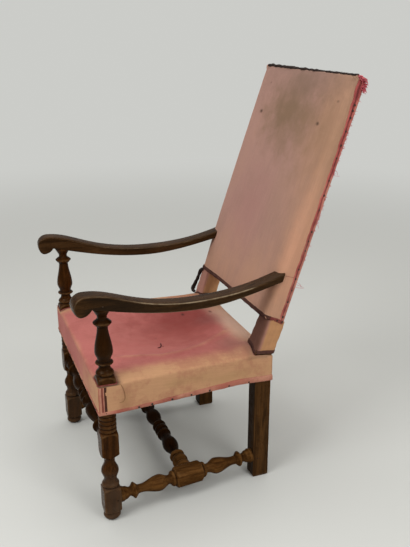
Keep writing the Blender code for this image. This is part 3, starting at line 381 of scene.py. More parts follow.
darkGimp = makeBraid("darkGimp", (0.008, 0.004, 0.003), (0.040, 0.020, 0.013))
brownGimp = makeBraid("brownGimp", (0.028, 0.010, 0.007), (0.14, 0.056, 0.040))
tanThread = makeBraid("tanThread", (0.15, 0.075, 0.030), (0.25, 0.13, 0.055))
darkRed = makeBraid("darkRed", (0.030, 0.006, 0.006), (0.09, 0.020, 0.017))
pinkThread = makeBraid("pinkThread", (0.40, 0.062, 0.080), (0.72, 0.20, 0.22))
redThread = makeBraid("redThread", (0.13, 0.025, 0.022), (0.32, 0.09, 0.07))


def makeIron(name, bare, rusty):
    made, nodes, place = newMaterial(name)
    rust = nodes.ranged(nodes.noisy(place, 600.0, 3.0, 0.6), 0.42, 0.62)
    nodes.dress({
        "Base Color": nodes.mix(rust, bare, rusty),
        "Metallic": nodes.ranged(rust, 0.0, 1.0, 0.7, 0.15),
        "Roughness": nodes.ranged(rust, 0.0, 1.0, 0.40, 0.75),
    })
    return made


def makeSacking(name, dark, light, threads):
    made, nodes, place = newMaterial(name)
    weave = nodes.group(weaveGroup, {"Vector": place, "Threads": threads})
    dirtAndShade = nodes.ranged(nodes.noisy(place, 11.0, 5.0, 0.6), 0.35, 0.7, 0.0, 0.6)
    nodes.dress({
        "Base Color": nodes.mix(dirtAndShade, nodes.mix(weave["Shade"], dark, light), dark),
        "Roughness": nodes.ranged(weave["Shade"], 0.0, 1.0, 0.95, 0.80),
        "Specular IOR Level": 0.2,
        "Normal": nodes.bump(weave["Height"], 0.7, 0.0010),
    })
    return made


tackIron = makeIron("tackIron", (0.018, 0.014, 0.012), (0.060, 0.026, 0.014))
jute = makeSacking("jute", (0.20, 0.13, 0.06), (0.42, 0.30, 0.16), 130.0)
hessian = makeSacking("hessian", (0.16, 0.10, 0.05), (0.36, 0.25, 0.13), 180.0)
print("finishes made")


# mesh helpers

def loft(rings, capped=True, closed=True, looped=False):
    size, rows = len(rings[0]), len(rings)
    points = [point for ring in rings for point in ring]
    faces = []
    for row in range(rows if looped else rows - 1):
        here, there = row * size, (row + 1) % rows * size
        for i in range(size if closed else size - 1):
            j = (i + 1) % size
            faces.append((here + i, here + j, there + j, there + i))
    if capped and not looped:
        faces += [tuple(reversed(range(size))), tuple((rows - 1) * size + i for i in range(size))]
    return points, faces


def joinLoft(points, faces, rings):
    start = len(points)
    more, around = loft(rings)
    points += more
    faces += [tuple(start + k for k in face) for face in around]


def circle(middle, along, radii):
    across = along.orthogonal().normalized()
    over = along.cross(across)
    turns = [2 * math.pi * k / len(radii) for k in range(len(radii))]
    return [middle + (across * math.cos(turn) + over * math.sin(turn)) * radius for turn, radius in zip(turns, radii)]


def gridFaces(columns, rows):
    wide = columns + 1
    corners = [row * wide + column for row in range(rows) for column in range(columns)]
    return [(corner, corner + 1, corner + wide + 1, corner + wide) for corner in corners]


@contextmanager
def edited(mesh):
    shaped = bmesh.new()
    shaped.from_mesh(mesh)
    yield shaped
    shaped.to_mesh(mesh)
    shaped.free()


def bareMesh(name, points, faces):
    mesh = bpy.data.meshes.new(name)
    mesh.from_pydata([tuple(point) for point in points], [], faces)
    with edited(mesh) as shaped:
        bmesh.ops.recalc_face_normals(shaped, faces=shaped.faces)
    return placed(name, mesh)


def addPiece(name, points, faces, material, slot=None, stands=(), sharp=35):
    piece = bareMesh(name, points, faces)
    piece.data.materials.append(material)
    piece.data.shade_smooth()
    if sharp:
        piece.data.set_sharp_from_angle(angle=math.radians(sharp))
    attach(piece, "root")
    if stands:
        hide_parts(*stands)
    return piece


# cloth and thread have no hard edges
def addCloth(*given):
    return addPiece(*given, sharp=0)


def setMark(mesh, name, values):
    mark = mesh.attributes.get(name) or mesh.attributes.new(name, "FLOAT", "POINT")
    mark.data.foreach_set("value", values)


# how far each point stands out of its neighbours (wear) or sits below them (soil)
def markWear(piece, gain=1.0):
    mesh = piece.data
    shaped = bmesh.new()
    shaped.from_mesh(mesh)
    shaped.verts.ensure_lookup_table()
    bends = []
    for point in shaped.verts:
        lean = 0.0
        for edge in point.link_edges:
            away = point.co - edge.other_vert(point).co
            lean += away.dot(point.normal) / max(away.length, 1e-6)
        bends.append(lean / max(len(point.link_edges), 1))
    for _ in range(2):
        bends = [(bends[p.index] * 2 + sum(bends[e.other_vert(p).index] for e in p.link_edges))
                 / (2 + len(p.link_edges)) for p in shaped.verts]
    shaped.free()
    setMark(mesh, "wear", [min(max(bend * 4.0 * gain, 0.0), 1.0) for bend in bends])
    setMark(mesh, "soilAndShade", [min(max(-bend * 4.0 * gain, 0.0), 1.0) for bend in bends])


def addPaintedShade(piece, amount):
    soilAndShade = piece.data.attributes["soilAndShade"].data
    for vertex in piece.data.vertices:
        soilAndShade[vertex.index].value = max(soilAndShade[vertex.index].value, amount(vertex))


def cutBy(piece, cutters):
    for cutter in cutters:
        cut = piece.modifiers.new("cut", "BOOLEAN")
        cut.object = cutter
        cut.solver = "EXACT"
        bpy.context.view_layer.update()
        applied(piece)
        bpy.data.objects.remove(cutter)


def applied(piece):
    graph = bpy.context.evaluated_depsgraph_get()
    graph.update()
    fresh = bpy.data.meshes.new_from_object(piece.evaluated_get(graph))
    old = piece.data
    piece.modifiers.clear()
    piece.data = fresh
    bpy.data.meshes.remove(old)


# the frame's own lines

frontLow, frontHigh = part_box("front_post_left")
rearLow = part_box("rear_post_left")[0]
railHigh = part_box("seat_rail_rear")[1]
coverLow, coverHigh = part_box("seat_cover")

stance = {
    "rake": math.radians(19.5),
    "kneeHeight": 0.412,
    "rearWidth": 0.046,
    "rearDepth": 0.052,
    "railSetIn": 0.001,  # the rear rail stands this far inside the posts' rear faces
    "backBottom": 0.136,  # along the rake, from the knee
    "backTop": 0.857,
    "backTopDepth": 0.026,
    "backLean": 0.017,
    "clothOut": 0.003,
    "seatBottom": 0.352,
    "seatFall": 0.009,
    "stretcherHeight": 0.068,
}
frontX = (frontLow[0] + frontHigh[0]) / 2
frontY = (frontLow[1] + frontHigh[1]) / 2
postHalf = (frontHigh[0] - frontLow[0]) / 2
rearHalf = stance["rearWidth"] / 2
rearX = rearLow[0] + rearHalf
legRear = railHigh[1] + stance["railSetIn"]
legFront = legRear - stance["rearDepth"]
kneeY = rearLow[1]
sinRake = math.sin(stance["rake"])
cosRake = math.cos(stance["rake"])
sides = (("left", 1), ("right", -1))


def raked(x, depth, along):
    return Vector((x, kneeY + depth * cosRake + along * sinRake,
                   stance["kneeHeight"] - depth * sinRake + along * cosRake))


def postMiddle(along):
    return rearX + stance["backLean"] * max(along, 0.0) / stance["backTop"]


def postDepth(along):
    kneeDepth = (legRear - kneeY) / cosRake - 0.0075
    return lerp(kneeDepth, stance["backTopDepth"], min(max(along / stance["backTop"], 0.0), 1.0))


# turned and squared wood

def eased(share, shape, rising):
    if shape == "line":
        return share
    if shape == "swell":
        return (1 - math.cos(math.pi * share)) / 2
    fast = math.sin(math.pi / 2 * share)
    slow = 1 - math.cos(math.pi / 2 * share)
    return fast if (shape == "bead") == rising else slow


def turned(stops, step):
    heights = []
    for (low, wide, _), (high, nextWide, shape) in zip(stops, stops[1:]):
        count = max(1, round(abs(high - low) / step))
        for i in range(count):
            share = i / count
            radius = lerp(wide, nextWide, eased(share, shape, nextWide > wide)) / 2
            heights.append((lerp(low, high, share), radius))
    heights.append((stops[-1][0], stops[-1][1] / 2))
    return heights


# reach of a square stick with rounded corners, in one direction
def stickReach(turn, half, corner):
    turn = abs((turn + math.pi / 4) % (math.pi / 2) - math.pi / 4)
    inner = half - corner
    if math.tan(turn) * half <= inner:
        return half / math.cos(turn)
    spread = math.cos(turn) + math.sin(turn)
    return inner * spread + math.sqrt(max(corner ** 2 - inner ** 2 * (1 - math.sin(2 * turn)), 0.0))


def spindle(heights, facets, half, corner, seed):
    rings = []
    for height, radius in heights:
        ring = []
        for i in range(facets):
            turn = 2 * math.pi * (i + 0.5) / facets
            reach = min(radius, stickReach(turn, half, corner))
            reach += 0.00025 * wander((math.cos(turn), math.sin(turn), height * 9), 1.6, seed)
            ring.append(Vector((reach * math.cos(turn), reach * math.sin(turn), height)))
        rings.append(ring)
    return rings


frontPost = {
    "facets": 72,
    "step": 0.0021,
    "corner": 0.0026,
    "stops": [  # height, diameter, how the line gets there; a diameter over 70 mm leaves the square
        (0.0, 0.0334, "line"), (0.0015, 0.0377, "line"), (0.011, 0.0497, "bead"), (0.020, 0.0430, "bead"),
        (0.0235, 0.0404, "line"), (0.0245, 0.0441, "line"), (0.037, 0.0715, "bead"), (0.096, 0.0715, "line"),
        (0.1075, 0.0441, "bead"), (0.1085, 0.0409, "line"), (0.1135, 0.0497, "bead"), (0.1165, 0.0497, "line"),
        (0.1225, 0.0420, "bead"), (0.1245, 0.0387, "line"), (0.1325, 0.0366, "cove"), (0.1595, 0.0497, "swell"),
        (0.190, 0.0301, "swell"), (0.195, 0.0307, "line"), (0.2090, 0.0441, "cove"), (0.2225, 0.0715, "bead"),
        (0.274, 0.0715, "line"), (0.287, 0.0441, "bead"),
    ],
    "reeds": (0.2875, 0.352, 5, 0.0497, 0.0412),  # low, high, count, widest, groove
    "support": [
        (0.3525, 0.0715, "line"), (0.4445, 0.0715, "line"), (0.4615, 0.0441, "bead"), (0.4625, 0.0420, "line"),
        (0.4685, 0.0501, "bead"), (0.4745, 0.0441, "bead"), (0.4770, 0.0387, "line"), (0.4840, 0.0323, "cove"),
        (0.4900, 0.0291, "swell"), (0.4940, 0.0334, "cove"), (0.4952, 0.0441, "line"), (0.4985, 0.0493, "bead"),
        (0.5018, 0.0430, "bead"), (0.5032, 0.0366, "line"), (0.5062, 0.0366, "line"), (0.5297, 0.0497, "swell"),
        (0.6029, 0.0291, "swell"), (0.6050, 0.0334, "line"), (0.6062, 0.0377, "line"), (0.6138, 0.0501, "line"),
        (0.6152, 0.0501, "line"), (0.6222, 0.0334, "line"), (0.6255, 0.0262, "cove"), (0.6300, 0.0262, "line"),
        (0.6400, 0.0345, "cove"), (0.6515, 0.0475, "line"), (0.6600, 0.0475, "line"), (0.6602, 0.0200, "line"),
        (0.6680, 0.0200, "line"),
    ],
}


def frontPostStops():
    low, high, count, wide, groove = frontPost["reeds"]
    pitch = (high - low) / count
    reeds = [(low, groove, "line")]
    for i in range(count):
        base = low + pitch * i
        reeds += [(base + pitch * 0.30, wide, "bead"), (base + pitch * 0.66, wide, "line")]
        reeds.append((base + pitch, groove, "bead"))
    return frontPost["stops"] + reeds + frontPost["support"]


def makeFrontPosts():
    heights = turned(frontPostStops(), frontPost["step"])
    for label, side in sides:
        rings = spindle(heights, frontPost["facets"], postHalf, frontPost["corner"], 3.0 + side)
        rings = [[point + Vector((side * frontX, frontY, 0)) for point in ring] for ring in rings]
        post = addPiece(f"frontPost_{label}", *loft(rings), walnutPost, "walnut", [f"front_post_{label}"])
        markWear(post, 1.5)


# one bend for all four corners, or four: high-high, low-high, low-low, high-low
def rounded(xLow, xHigh, yLow, yHigh, corner, steps=4, runs=6):
    bends = corner if isinstance(corner, tuple) else (corner,) * 4
    spots = ((xHigh, yHigh, -1, -1), (xLow, yHigh, 1, -1), (xLow, yLow, 1, 1), (xHigh, yLow, -1, 1))
    arcs = []
    for quarter, ((x, y, inX, inY), bend) in enumerate(zip(spots, bends)):
        turns = [math.pi / 2 * (quarter + i / steps) for i in range(steps + 1)]
        arcs.append([(x + bend * (inX + math.cos(turn)), y + bend * (inY + math.sin(turn))) for turn in turns])
    ring = []
    for arc, after in zip(arcs, arcs[1:] + arcs[:1]):
        (lastX, lastY), (firstX, firstY) = arc[-1], after[0]
        ring += arc + [(lerp(lastX, firstX, i / runs), lerp(lastY, firstY, i / runs)) for i in range(1, runs)]
    return ring


rearPost = {
    "corner": 0.0026,
    "step": 0.008,
    "wobble": 0.0003,
    "footBevel": 0.004,
    "underCloth": 0.0036,  # slimmer and rounder where the cover hides it
    "underCorner": 0.011,
    "shadeAndGrime": 0.5,  # painted shade: the front faces are the darkest below the seat
}


def makeRearPosts():
    knee = stance["kneeHeight"]
    seatLevel = stance["seatBottom"] - stance["seatFall"]
    for label, side in sides:
        rings = []
        count = round(seatLevel / rearPost["step"])
        for i in range(-1, count + 1):
            height = 0.0 if i < 0 else lerp(rearPost["footBevel"], seatLevel, i / count)
            draw = rearPost["footBevel"] / 2 if i < 0 else 0.0
            flat = rounded(rearX - rearHalf + draw, rearX + rearHalf - draw, legFront + draw, legRear - draw,
                           rearPost["corner"])
            rings.append([Vector((side * x, y, height)) for x, y in flat])
        count = round(stance["backTop"] / rearPost["step"])
        for i in range(count + 1):
            along = lerp(0.012, stance["backTop"] - 0.004, i / count)
            hidden = smooth(along, 0.022, 0.055)
            slim = rearPost["underCloth"] * hidden
            corner = lerp(rearPost["corner"], rearPost["underCorner"], hidden)
            half = rearHalf - slim
            middle = postMiddle(along)
            flat = rounded(middle - half, middle + half, 0.0, postDepth(along) - slim, corner)
            rings.append([raked(side * x, depth, along) for x, depth in flat])
        for ring in rings[2:]:
            for point in ring:
                point.x += rearPost["wobble"] * wander(point, 24, 5)
                point.y += rearPost["wobble"] * wander(point, 24, 9)
        post = addPiece(f"rearPost_{label}", *loft(rings), walnutLeg, "walnut", [f"rear_post_{label}"])
        markWear(post, 1.2)
        # painted shade on the front faces below the seat
        addPaintedShade(post, lambda vertex: rearPost["shadeAndGrime"] * (smooth(-vertex.normal.y, 0.75, 0.95)
                                                          * smooth(0.4 - vertex.co.z, 0.0, 0.05)))


# half of each stretcher, from its middle out: share of the half, diameter, how the line gets there
stretchers = {
    "palerFrom": 0.146,
    "shadeAndGrime": 0.45,  # painted shade underneath
    # and painted shade in the thin necks
    "neckShade": 0.22,
    "facets": 56,
    "step": 0.0019,
    "blockHalf": 0.0265,
    "blockCorner": 0.0133,
    "tenon": 0.018,
    "tenonRadius": 0.009,
    "side": [
        (0.0, 0.0705, "line"), (0.150, 0.0705, "line"), (0.205, 0.0485, "bead"), (0.212, 0.0437, "line"),
        (0.232, 0.0474, "bead"), (0.252, 0.0426, "bead"), (0.262, 0.0330, "line"), (0.292, 0.0279, "cove"),
        (0.430, 0.0492, "swell"), (0.700, 0.0256, "swell"), (0.745, 0.0266, "line"), (0.760, 0.0330, "line"),
        (0.793, 0.0477, "line"), (0.803, 0.0477, "line"), (0.836, 0.0320, "line"), (0.856, 0.0266, "cove"),
        (0.930, 0.0389, "swell"), (0.965, 0.0453, "cove"), (1.0, 0.0447, "line"),
    ],
    "middle": [
        (0.0, 0.0453, "line"), (0.035, 0.0426, "bead"), (0.060, 0.0357, "line"), (0.085, 0.0426, "line"),
        (0.120, 0.0453, "bead"), (0.150, 0.0373, "bead"), (0.175, 0.0320, "line"), (0.400, 0.0492, "swell"),
        (0.600, 0.0298, "swell"), (0.635, 0.0330, "line"), (0.680, 0.0474, "line"), (0.690, 0.0474, "line"),
        (0.720, 0.0373, "line"), (0.735, 0.0362, "line"), (0.810, 0.0492, "bead"), (0.880, 0.0373, "bead"),
        (0.890, 0.0362, "line"), (0.925, 0.0469, "bead"), (0.965, 0.0469, "line"), (1.0, 0.0426, "bead"),
    ],
    "front": [
        (0.0, 0.0474, "line"), (0.045, 0.0405, "bead"), (0.080, 0.0320, "line"), (0.105, 0.0426, "line"),
        (0.130, 0.0453, "bead"), (0.155, 0.0383, "bead"), (0.185, 0.0298, "line"), (0.360, 0.0492, "swell"),
        (0.660, 0.0256, "swell"), (0.690, 0.0309, "line"), (0.718, 0.0474, "line"), (0.726, 0.0474, "line"),
        (0.754, 0.0309, "line"), (0.785, 0.0275, "cove"), (0.890, 0.0399, "swell"), (0.950, 0.0453, "cove"),
        (1.0, 0.0447, "line"),
    ],
}


def makeStretcher(name, start, end, pattern, material, node):
    start, end = Vector(start), Vector(end)
    half = (end - start).length / 2
    out = turned([(share * half, wide, shape) for share, wide, shape in stretchers[pattern]], stretchers["step"])
    heights = [(-height, radius) for height, radius in reversed(out[1:])] + out
    thin = stretchers["tenonRadius"]
    tip = half + stretchers["tenon"]
    heights = [(-tip, thin), (-half, thin)] + heights + [(half, thin), (tip, thin)]
    rings = spindle(heights, stretchers["facets"], stretchers["blockHalf"], stretchers["blockCorner"], len(name))
    along = (end - start).normalized()
    across = Vector((0, 0, 1)).cross(along).normalized()
    turn = Matrix((across, along.cross(across), along)).transposed()
    middle = (start + end) / 2
    rings = [[middle + turn @ point for point in ring] for ring in rings]
    piece = addPiece(name, *loft(rings), material, "walnut", [node])
    markWear(piece, 1.5)

    # painted shade: darker underneath and in the thin necks
    def dirtAndShade(vertex):
        spot = vertex.co - middle
        narrow = smooth((spot - along * spot.dot(along)).length, 0.0205, 0.0165)
        return max(stretchers["shadeAndGrime"] * smooth(-vertex.normal.z, 0.0, 0.8), stretchers["neckShade"] * narrow)

    addPaintedShade(piece, dirtAndShade)
    return piece


def makeStretchers():
    height = stance["stretcherHeight"]
    behindPost = frontY + postHalf
    for label, side in sides:
        start = (side * frontX, behindPost, height)
        end = (side * rearX, legFront, height)
        makeStretcher(f"sideStretcher_{label}", start, end, "side", walnutSide, f"side_stretcher_{label}")
    low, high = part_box("middle_stretcher")
    y = (low[1] + high[1]) / 2
    share = (y - behindPost) / (legFront - behindPost)
    reach = lerp(frontX, rearX, share) - stretchers["blockHalf"]
    middle = makeStretcher("middleStretcher", (-reach, y, height), (reach, y, height), "middle", shadedWalnut,
                           "middle_stretcher")
    middle.data.materials.append(walnutSide)
    for face in middle.data.polygons:  # its near end takes the side stretchers' lighter walnut: painted light where it comes out of the shade
        face.material_index = int(face.center.x > stretchers["palerFrom"])
    low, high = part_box("front_stretcher")
    y, z = (low[1] + high[1]) / 2, (low[2] + high[2]) / 2
    reach = frontX - postHalf
    makeStretcher("frontStretcher", (-reach, y, z), (reach, y, z), "front", shadedWalnut, "front_stretcher")


arm = {
    "width": 0.048,
    "thick": 0.028,
    "crest": 0.7010,
    "crestAt": -0.046,  # behind the post's axis
    "reach": 0.079,
    "knobAt": -0.060,
    "knobLow": 0.642,
    "knobMiddle": 0.672,
    "notchAt": -0.030,
    "notchHigh": 0.659,
    "dip": 0.638,
    "dipAt": 0.285,
    "rearTop": 0.677,
    "section": [  # share of the half width, how far the outline draws in
        (0.0, 0.0), (0.35, 0.0002), (0.62, 0.0006), (0.80, 0.0012), (0.90, 0.0020), (0.95, 0.0030), (0.985, 0.0046),
        (1.0, 0.0066), (1.002, 0.0078),
    ],
    "under": 0.6,  # share of that draw along the underside
    "outRear": 0.002,  # the rear end stands this far outside the post's middle line
    # strength of that pale arris line on each arm: painted highlight, with rubbed wear
    "rubbed": {"left": 1.0, "right": 0.45},
    "shadeAndGrime": 0.38,  # painted shade: the underside and the lower half of each side are darker
    "nearDark": {"left": 0.58, "right": 0.0},  # painted shade: so is the near one's outer side about the post
}


def bow(start, end, handles, steps):
    knots = [start] + [(lerp(start[0], end[0], a), lerp(start[1], end[1], b)) for a, b in handles] + [end]
    curve = interpolate_bezier(*[Vector((*knot, 0)) for knot in knots], steps + 1)
    return [(point.x, point.y) for point in curve[:-1]]


def armOutline(lateral, inset, angle):
    def endAt(height):
        face = raked(0, 0, (height - stance["kneeHeight"]) / cosRake).y
        return (face - frontY - lateral * math.sin(angle)) / math.cos(angle)

    top, low = arm["rearTop"], arm["rearTop"] - arm["thick"]
    rearTop, rearLow = (endAt(top), top), (endAt(low), low)
    dipTop, dipLow = (arm["dipAt"], arm["dip"]), (arm["dipAt"], arm["dip"] - arm["thick"])
    crest, notch = (arm["crestAt"], arm["crest"]), (arm["notchAt"], arm["notchHigh"])
    run, rise = arm["notchAt"] - arm["knobAt"], arm["notchHigh"] - arm["knobLow"]
    hollow = (run * run + rise * rise) / (2 * rise)
    sweep = math.asin(run / hollow)
    points = []
    for i in range(16):
        turn = sweep * (1 - i / 16)
        points.append((arm["knobAt"] + hollow * math.sin(turn), arm["knobLow"] + hollow * (1 - math.cos(turn))))
    for i in range(18):
        turn = math.pi / 2 * i / 18
        points.append((arm["knobAt"] - (arm["reach"] + arm["knobAt"]) * math.sin(turn),
                       lerp(arm["knobMiddle"], arm["knobLow"], math.cos(turn))))
    for i in range(20):
        turn = math.pi / 2 * i / 20
        points.append((crest[0] - (arm["reach"] + crest[0]) * math.cos(turn),
                       lerp(arm["knobMiddle"], arm["crest"], math.sin(turn))))
    points += bow(crest, dipTop, ((0.27, 0), (0.41, 1)), 44)
    points += bow(dipTop, rearTop, ((0.42, 0), (0.70, 0.37)), 30)
    corner = len(points)
    points += [rearTop] + [(endAt(lerp(top, low, i / 6)), lerp(top, low, i / 6)) for i in range(1, 6)] + [rearLow]
    last = len(points) - 1
    points += bow(dipLow, rearLow, ((0.34, 0), (0.70, 0.57)), 30)[:0:-1]
    points += [dipLow] + bow(notch, dipLow, ((0.22, 0.30), (0.56, 1.0)), 50)[:0:-1]
    drawn = []
    for i, (s, z) in enumerate(points):
        if corner <= i <= last:
            z = min(max(z, low + inset * arm["under"]), top - inset)
            drawn.append((endAt(z), z))
            continue
        before, after = points[i - 1], points[(i + 1) % len(points)]
        along = Vector((after[0] - before[0], after[1] - before[1])).normalized()
        draw = inset * (arm["under"] if i > last else 1.0)
        drawn.append((s + along.y * draw, z - along.x * draw))
    return drawn


def closeSide(outline, start):
    flat = [Vector((s, z, 0)) for s, z in outline]
    return [tuple(start + k for k in face) for face in tessellate_polygon([flat])]


def makeArms():
    half = arm["width"] / 2
    along = (arm["rearTop"] - arm["thick"] / 2 - stance["kneeHeight"]) / cosRake
    angle = math.atan2(frontX - postMiddle(along) - arm["outRear"], raked(0, 0, along).y - frontY)
    section = [(-share, draw) for share, draw in reversed(arm["section"][1:])] + arm["section"]
    for label, side in sides:
        place = Matrix.Translation((side * frontX, frontY, 0)) @ Matrix.Rotation(side * angle, 4, "Z")
        rings = []
        for share, draw in section:
            outline = armOutline(share * half, draw, angle)
            rings.append([place @ Vector((side * share * half, s, z)) for s, z in outline])
        points, faces = loft(rings, capped=False)
        faces += closeSide(outline, 0) + closeSide(outline, len(points) - len(outline))
        piece = addPiece(f"arm_{label}", points, faces, walnutArm, "walnut", [f"arm_{label}"], sharp=40)
        markWear(piece, 1.6)
        wear, soilAndShade = (piece.data.attributes[mark].data for mark in ("wear", "soilAndShade"))
        for vertex in piece.data.vertices:
            y = vertex.co.y
            flank = abs(section[vertex.index // len(outline)][0]) > 0.99
            # painted shade on the near arm's outer side and on every underside
            dirtAndShade = lerp(0.40, 1.0, smooth(y, frontY + 0.18, frontY + 0.08)) * smooth(y, frontY - 0.072, frontY - 0.045)
            dirtAndShade = max(flank * arm["nearDark"][label] * dirtAndShade, arm["shadeAndGrime"] * smooth(-vertex.normal.z, 0.0, 0.5))
            soilAndShade[vertex.index].value = max(soilAndShade[vertex.index].value, dirtAndShade)
        for vertex in piece.data.vertices:  # a thin pale line, faint on the scroll and gone at the rear joint: painted highlight, with rubbed wear
            y = vertex.co.y
            rubbed = smooth(legFront - 0.01 - y, -0.03, 0.03) * lerp(0.35, 1.0, smooth(y, frontY + 0.02, frontY + 0.13))
            wear[vertex.index].value = rubbed * arm["rubbed"][label] * smooth(wear[vertex.index].value, 0.30, 0.72)


peg = {"proud": 0.0006, "armProud": 0.0026, "sides": 14, "irregular": 0.0004}


# each peg keeps its place; its end is left a little proud and rounded
def makePegs():
    for name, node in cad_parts.items():
        if "_peg" not in name:
            continue
        spots = [vertex.co.copy() for vertex in node.data.vertices]
        middle = sum(spots, Vector()) / len(spots)
        far = max(spots, key=lambda spot: (spot - middle).length)
        axes = [Vector((1, 0, 0)), Vector((0, 1, 0)), Vector((0, cosRake, -sinRake))]
        axes += [Vector((math.cos(a), math.sin(a), 0)) for a in (0.09, -0.09, math.pi / 2 + 0.09, math.pi / 2 - 0.09)]
        along = max(axes, key=lambda axis: max((spot - middle).dot(axis) for spot in spots))
        length = max((spot - middle).dot(along) for spot in spots)
        radius = math.sqrt(max((far - middle).length_squared - length ** 2, 0.0))
        # pegs on the arms take the pale finish: painted highlight
        onArm = name.startswith("arm")
        reach = length + peg["armProud" if onArm else "proud"]
        end = [(length, 1.0), (reach - 0.0005, 0.88), (reach, 0.55)]
        bumps = [peg["irregular"] * wander((i, length * 90, 0), 0.7, radius) for i in range(peg["sides"])]
        rings = [circle(middle + along * distance, along, [radius * share + bump for bump in bumps])
                 for distance, share in [(-distance, share) for distance, share in reversed(end)] + end]
        addPiece(f"peg_{name}", *loft(rings), highlitArmPeg if onArm else pegWood, "peg_wood", [name])


makeCamera()
makeLamps()
makeFrontPosts()
makeRearPosts()
makeStretchers()
makeArms()
makePegs()
# painted shade: the rails that run across take the darker walnut
crossRails = ("seat_rail_front", "seat_rail_rear", "back_top_rail", "back_lower_rail")
for name in crossRails + ("seat_rail_left", "seat_rail_right"):
    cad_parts[name].data.materials.clear()
    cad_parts[name].data.materials.append(shadedWalnut if name in crossRails else walnutSide)
print("woodwork made")


# upholstery helpers

# a grid whose border runs on down a skirt; place(u, v) and skirt(u, v, ring) give a point and its spot on flat cloth
def coverGrid(columns, rows, rings, place, skirt):
    spots = [(2 * column / columns - 1, row / rows) for row in range(rows + 1) for column in range(columns + 1)]
    made = [place(u, v) for u, v in spots]
    faces = gridFaces(columns, rows)
    wide = columns + 1
    border = list(range(wide)) + [row * wide + columns for row in range(1, rows + 1)]
    border += [rows * wide + column for column in range(columns - 1, -1, -1)]
    border += [row * wide for row in range(rows - 1, 0, -1)]
    before = border
    for ring in range(1, rings + 1):
        loop = []
        for index in border:
            loop.append(len(made))
            made.append(skirt(*spots[index], ring))
        for i in range(len(border)):
            j = (i + 1) % len(border)
            faces.append((before[j], before[i], loop[i], loop[j]))
        before = loop
    return [point for point, flat in made], faces, [flat for point, flat in made]


def layCloth(mesh, flats):
    layer = mesh.uv_layers.new(name="cloth")
    for corner, loop in zip(layer.data, mesh.loops):
        corner.uv = flats[loop.vertex_index]


def thicken(piece, thick, offset=-1):
    skin = piece.modifiers.new("thick", "SOLIDIFY")
    skin.thickness = thick
    skin.offset = offset
    applied(piece)


linenRules = {
    "quality": 6,
    "mass": 0.2,
    "vertex_group_mass": "holds",
    "pin_stiffness": 0.6,
    "tension_stiffness": 12,
    "compression_stiffness": 12,
    "bending_stiffness": 0.3,
}


# the cover is let a little slack and settles on its stuffing; holds says how firmly each point is kept
def settle(piece, holds, slack, most, frames):
    rest = [vertex.co.copy() for vertex in piece.data.vertices]
    group = piece.vertex_groups.new(name="holds")
    for index, hold in enumerate(holds):
        group.add([index], hold, "REPLACE")
    cloth = piece.modifiers.new("cloth", "CLOTH")
    for key, value in linenRules.items():
        setattr(cloth.settings, key, value)
    cloth.settings.shrink_min = -slack
    cloth.settings.effector_weights.gravity = 0.25
    cloth.point_cache.frame_start = 1
    cloth.point_cache.frame_end = frames
    for number in range(1, frames + 1):
        scene.frame_set(number)
        bpy.context.view_layer.update()
    settled = piece.evaluated_get(bpy.context.evaluated_depsgraph_get()).data
    spots = [vertex.co.copy() for vertex in settled.vertices]
    piece.modifiers.clear()
    piece.vertex_groups.clear()
    scene.frame_set(1)
    moves = []
    for vertex, before, after in zip(piece.data.vertices, rest, spots):
        move = after - before
        if move.length > most:
            move *= most / move.length
        vertex.co = before + move
        moves.append(move.length)
    print(piece.name, "settled by up to", round(max(moves) * 1000, 1), "mm")


# a section of (out, up) pairs carried along a path; outs and ups are lists, or one way for the whole path
def ribbon(path, outs, ups, section, looped=False, plait=0.0, wobble=0.0, swell=0.0, seed=1.0, sizes=None):
    pitch = 0.006
    outs, ups = (ways if isinstance(ways, list) else [ways] * len(path) for ways in (outs, ups))
    rings = []
    run = 0.0
    for i, (point, out, up) in enumerate(zip(path, outs, ups)):
        if i:
            run += (point - path[i - 1]).length
        shift = wobble * wander((run * 40, seed, 0), 1.0, seed)
        size = (sizes[i] if sizes else 1.0) * (1 + swell * wander((run * 55, seed, 7), 1.0, seed))
        ring = []
        for k, (a, b) in enumerate(section):
            lift = plait * math.sin(2 * math.pi * run / pitch + k * 1.9) if a > 0.0004 else 0.0
            slip = shift + wobble * 0.5 * wander((run * 160, k, seed), 1.0)
            ring.append(point + out * (a * size + lift) + up * (b * size + slip))
        rings.append(ring)
    return loft(rings, looped=looped)


def tube(points, radius, faces, path):
    rings = []
    for i, spot in enumerate(path):
        along = (path[min(i + 1, len(path) - 1)] - path[max(i - 1, 0)]).normalized()
        rings.append(circle(spot, along, [radius * (0.6 if i == len(path) - 1 else 1.0)] * 4))
    joinLoft(points, faces, rings)


# short broken fibres that leave a cut edge
def fray(name, roots, seed, lengths, radius, spread, droop, material, slot):
    pick = random.Random(seed)
    points, faces = [], []
    for root, out in roots:
        heading = (out + Vector((pick.uniform(-1, 1), pick.uniform(-1, 1), pick.uniform(-1, 1))) * spread).normalized()
        length = pick.uniform(*lengths)
        curl = Vector((pick.uniform(-1, 1), pick.uniform(-1, 1), pick.uniform(-0.6, 0.6))) * 0.35
        path = []
        for i in range(6):
            share = i / 5
            sag = Vector((0, 0, -droop * length * share * share))
            path.append(root + heading * length * share + curl * length * share * share + sag)
        tube(points, radius * pick.uniform(0.7, 1.3), faces, path)
    return addCloth(name, points, faces, material, slot)


# domed heads of small nails; each place is a point on the cloth and the way out of it
def tackHeads(name, places, radius):
    pick = random.Random(5)
    points, faces = [], []
    profile = [(1.0, -0.25), (1.0, 0.10), (0.86, 0.38), (0.52, 0.58), (0.18, 0.66)]
    for spot, out in places:
        tilt = (out + out.orthogonal().normalized() * pick.uniform(-0.15, 0.15)).normalized()
        size = radius * pick.uniform(0.85, 1.15)
        joinLoft(points, faces, [circle(spot + tilt * size * lift, tilt, [size * share] * 10) for share, lift in profile])
    return addPiece(name, points, faces, tackIron)


# seat

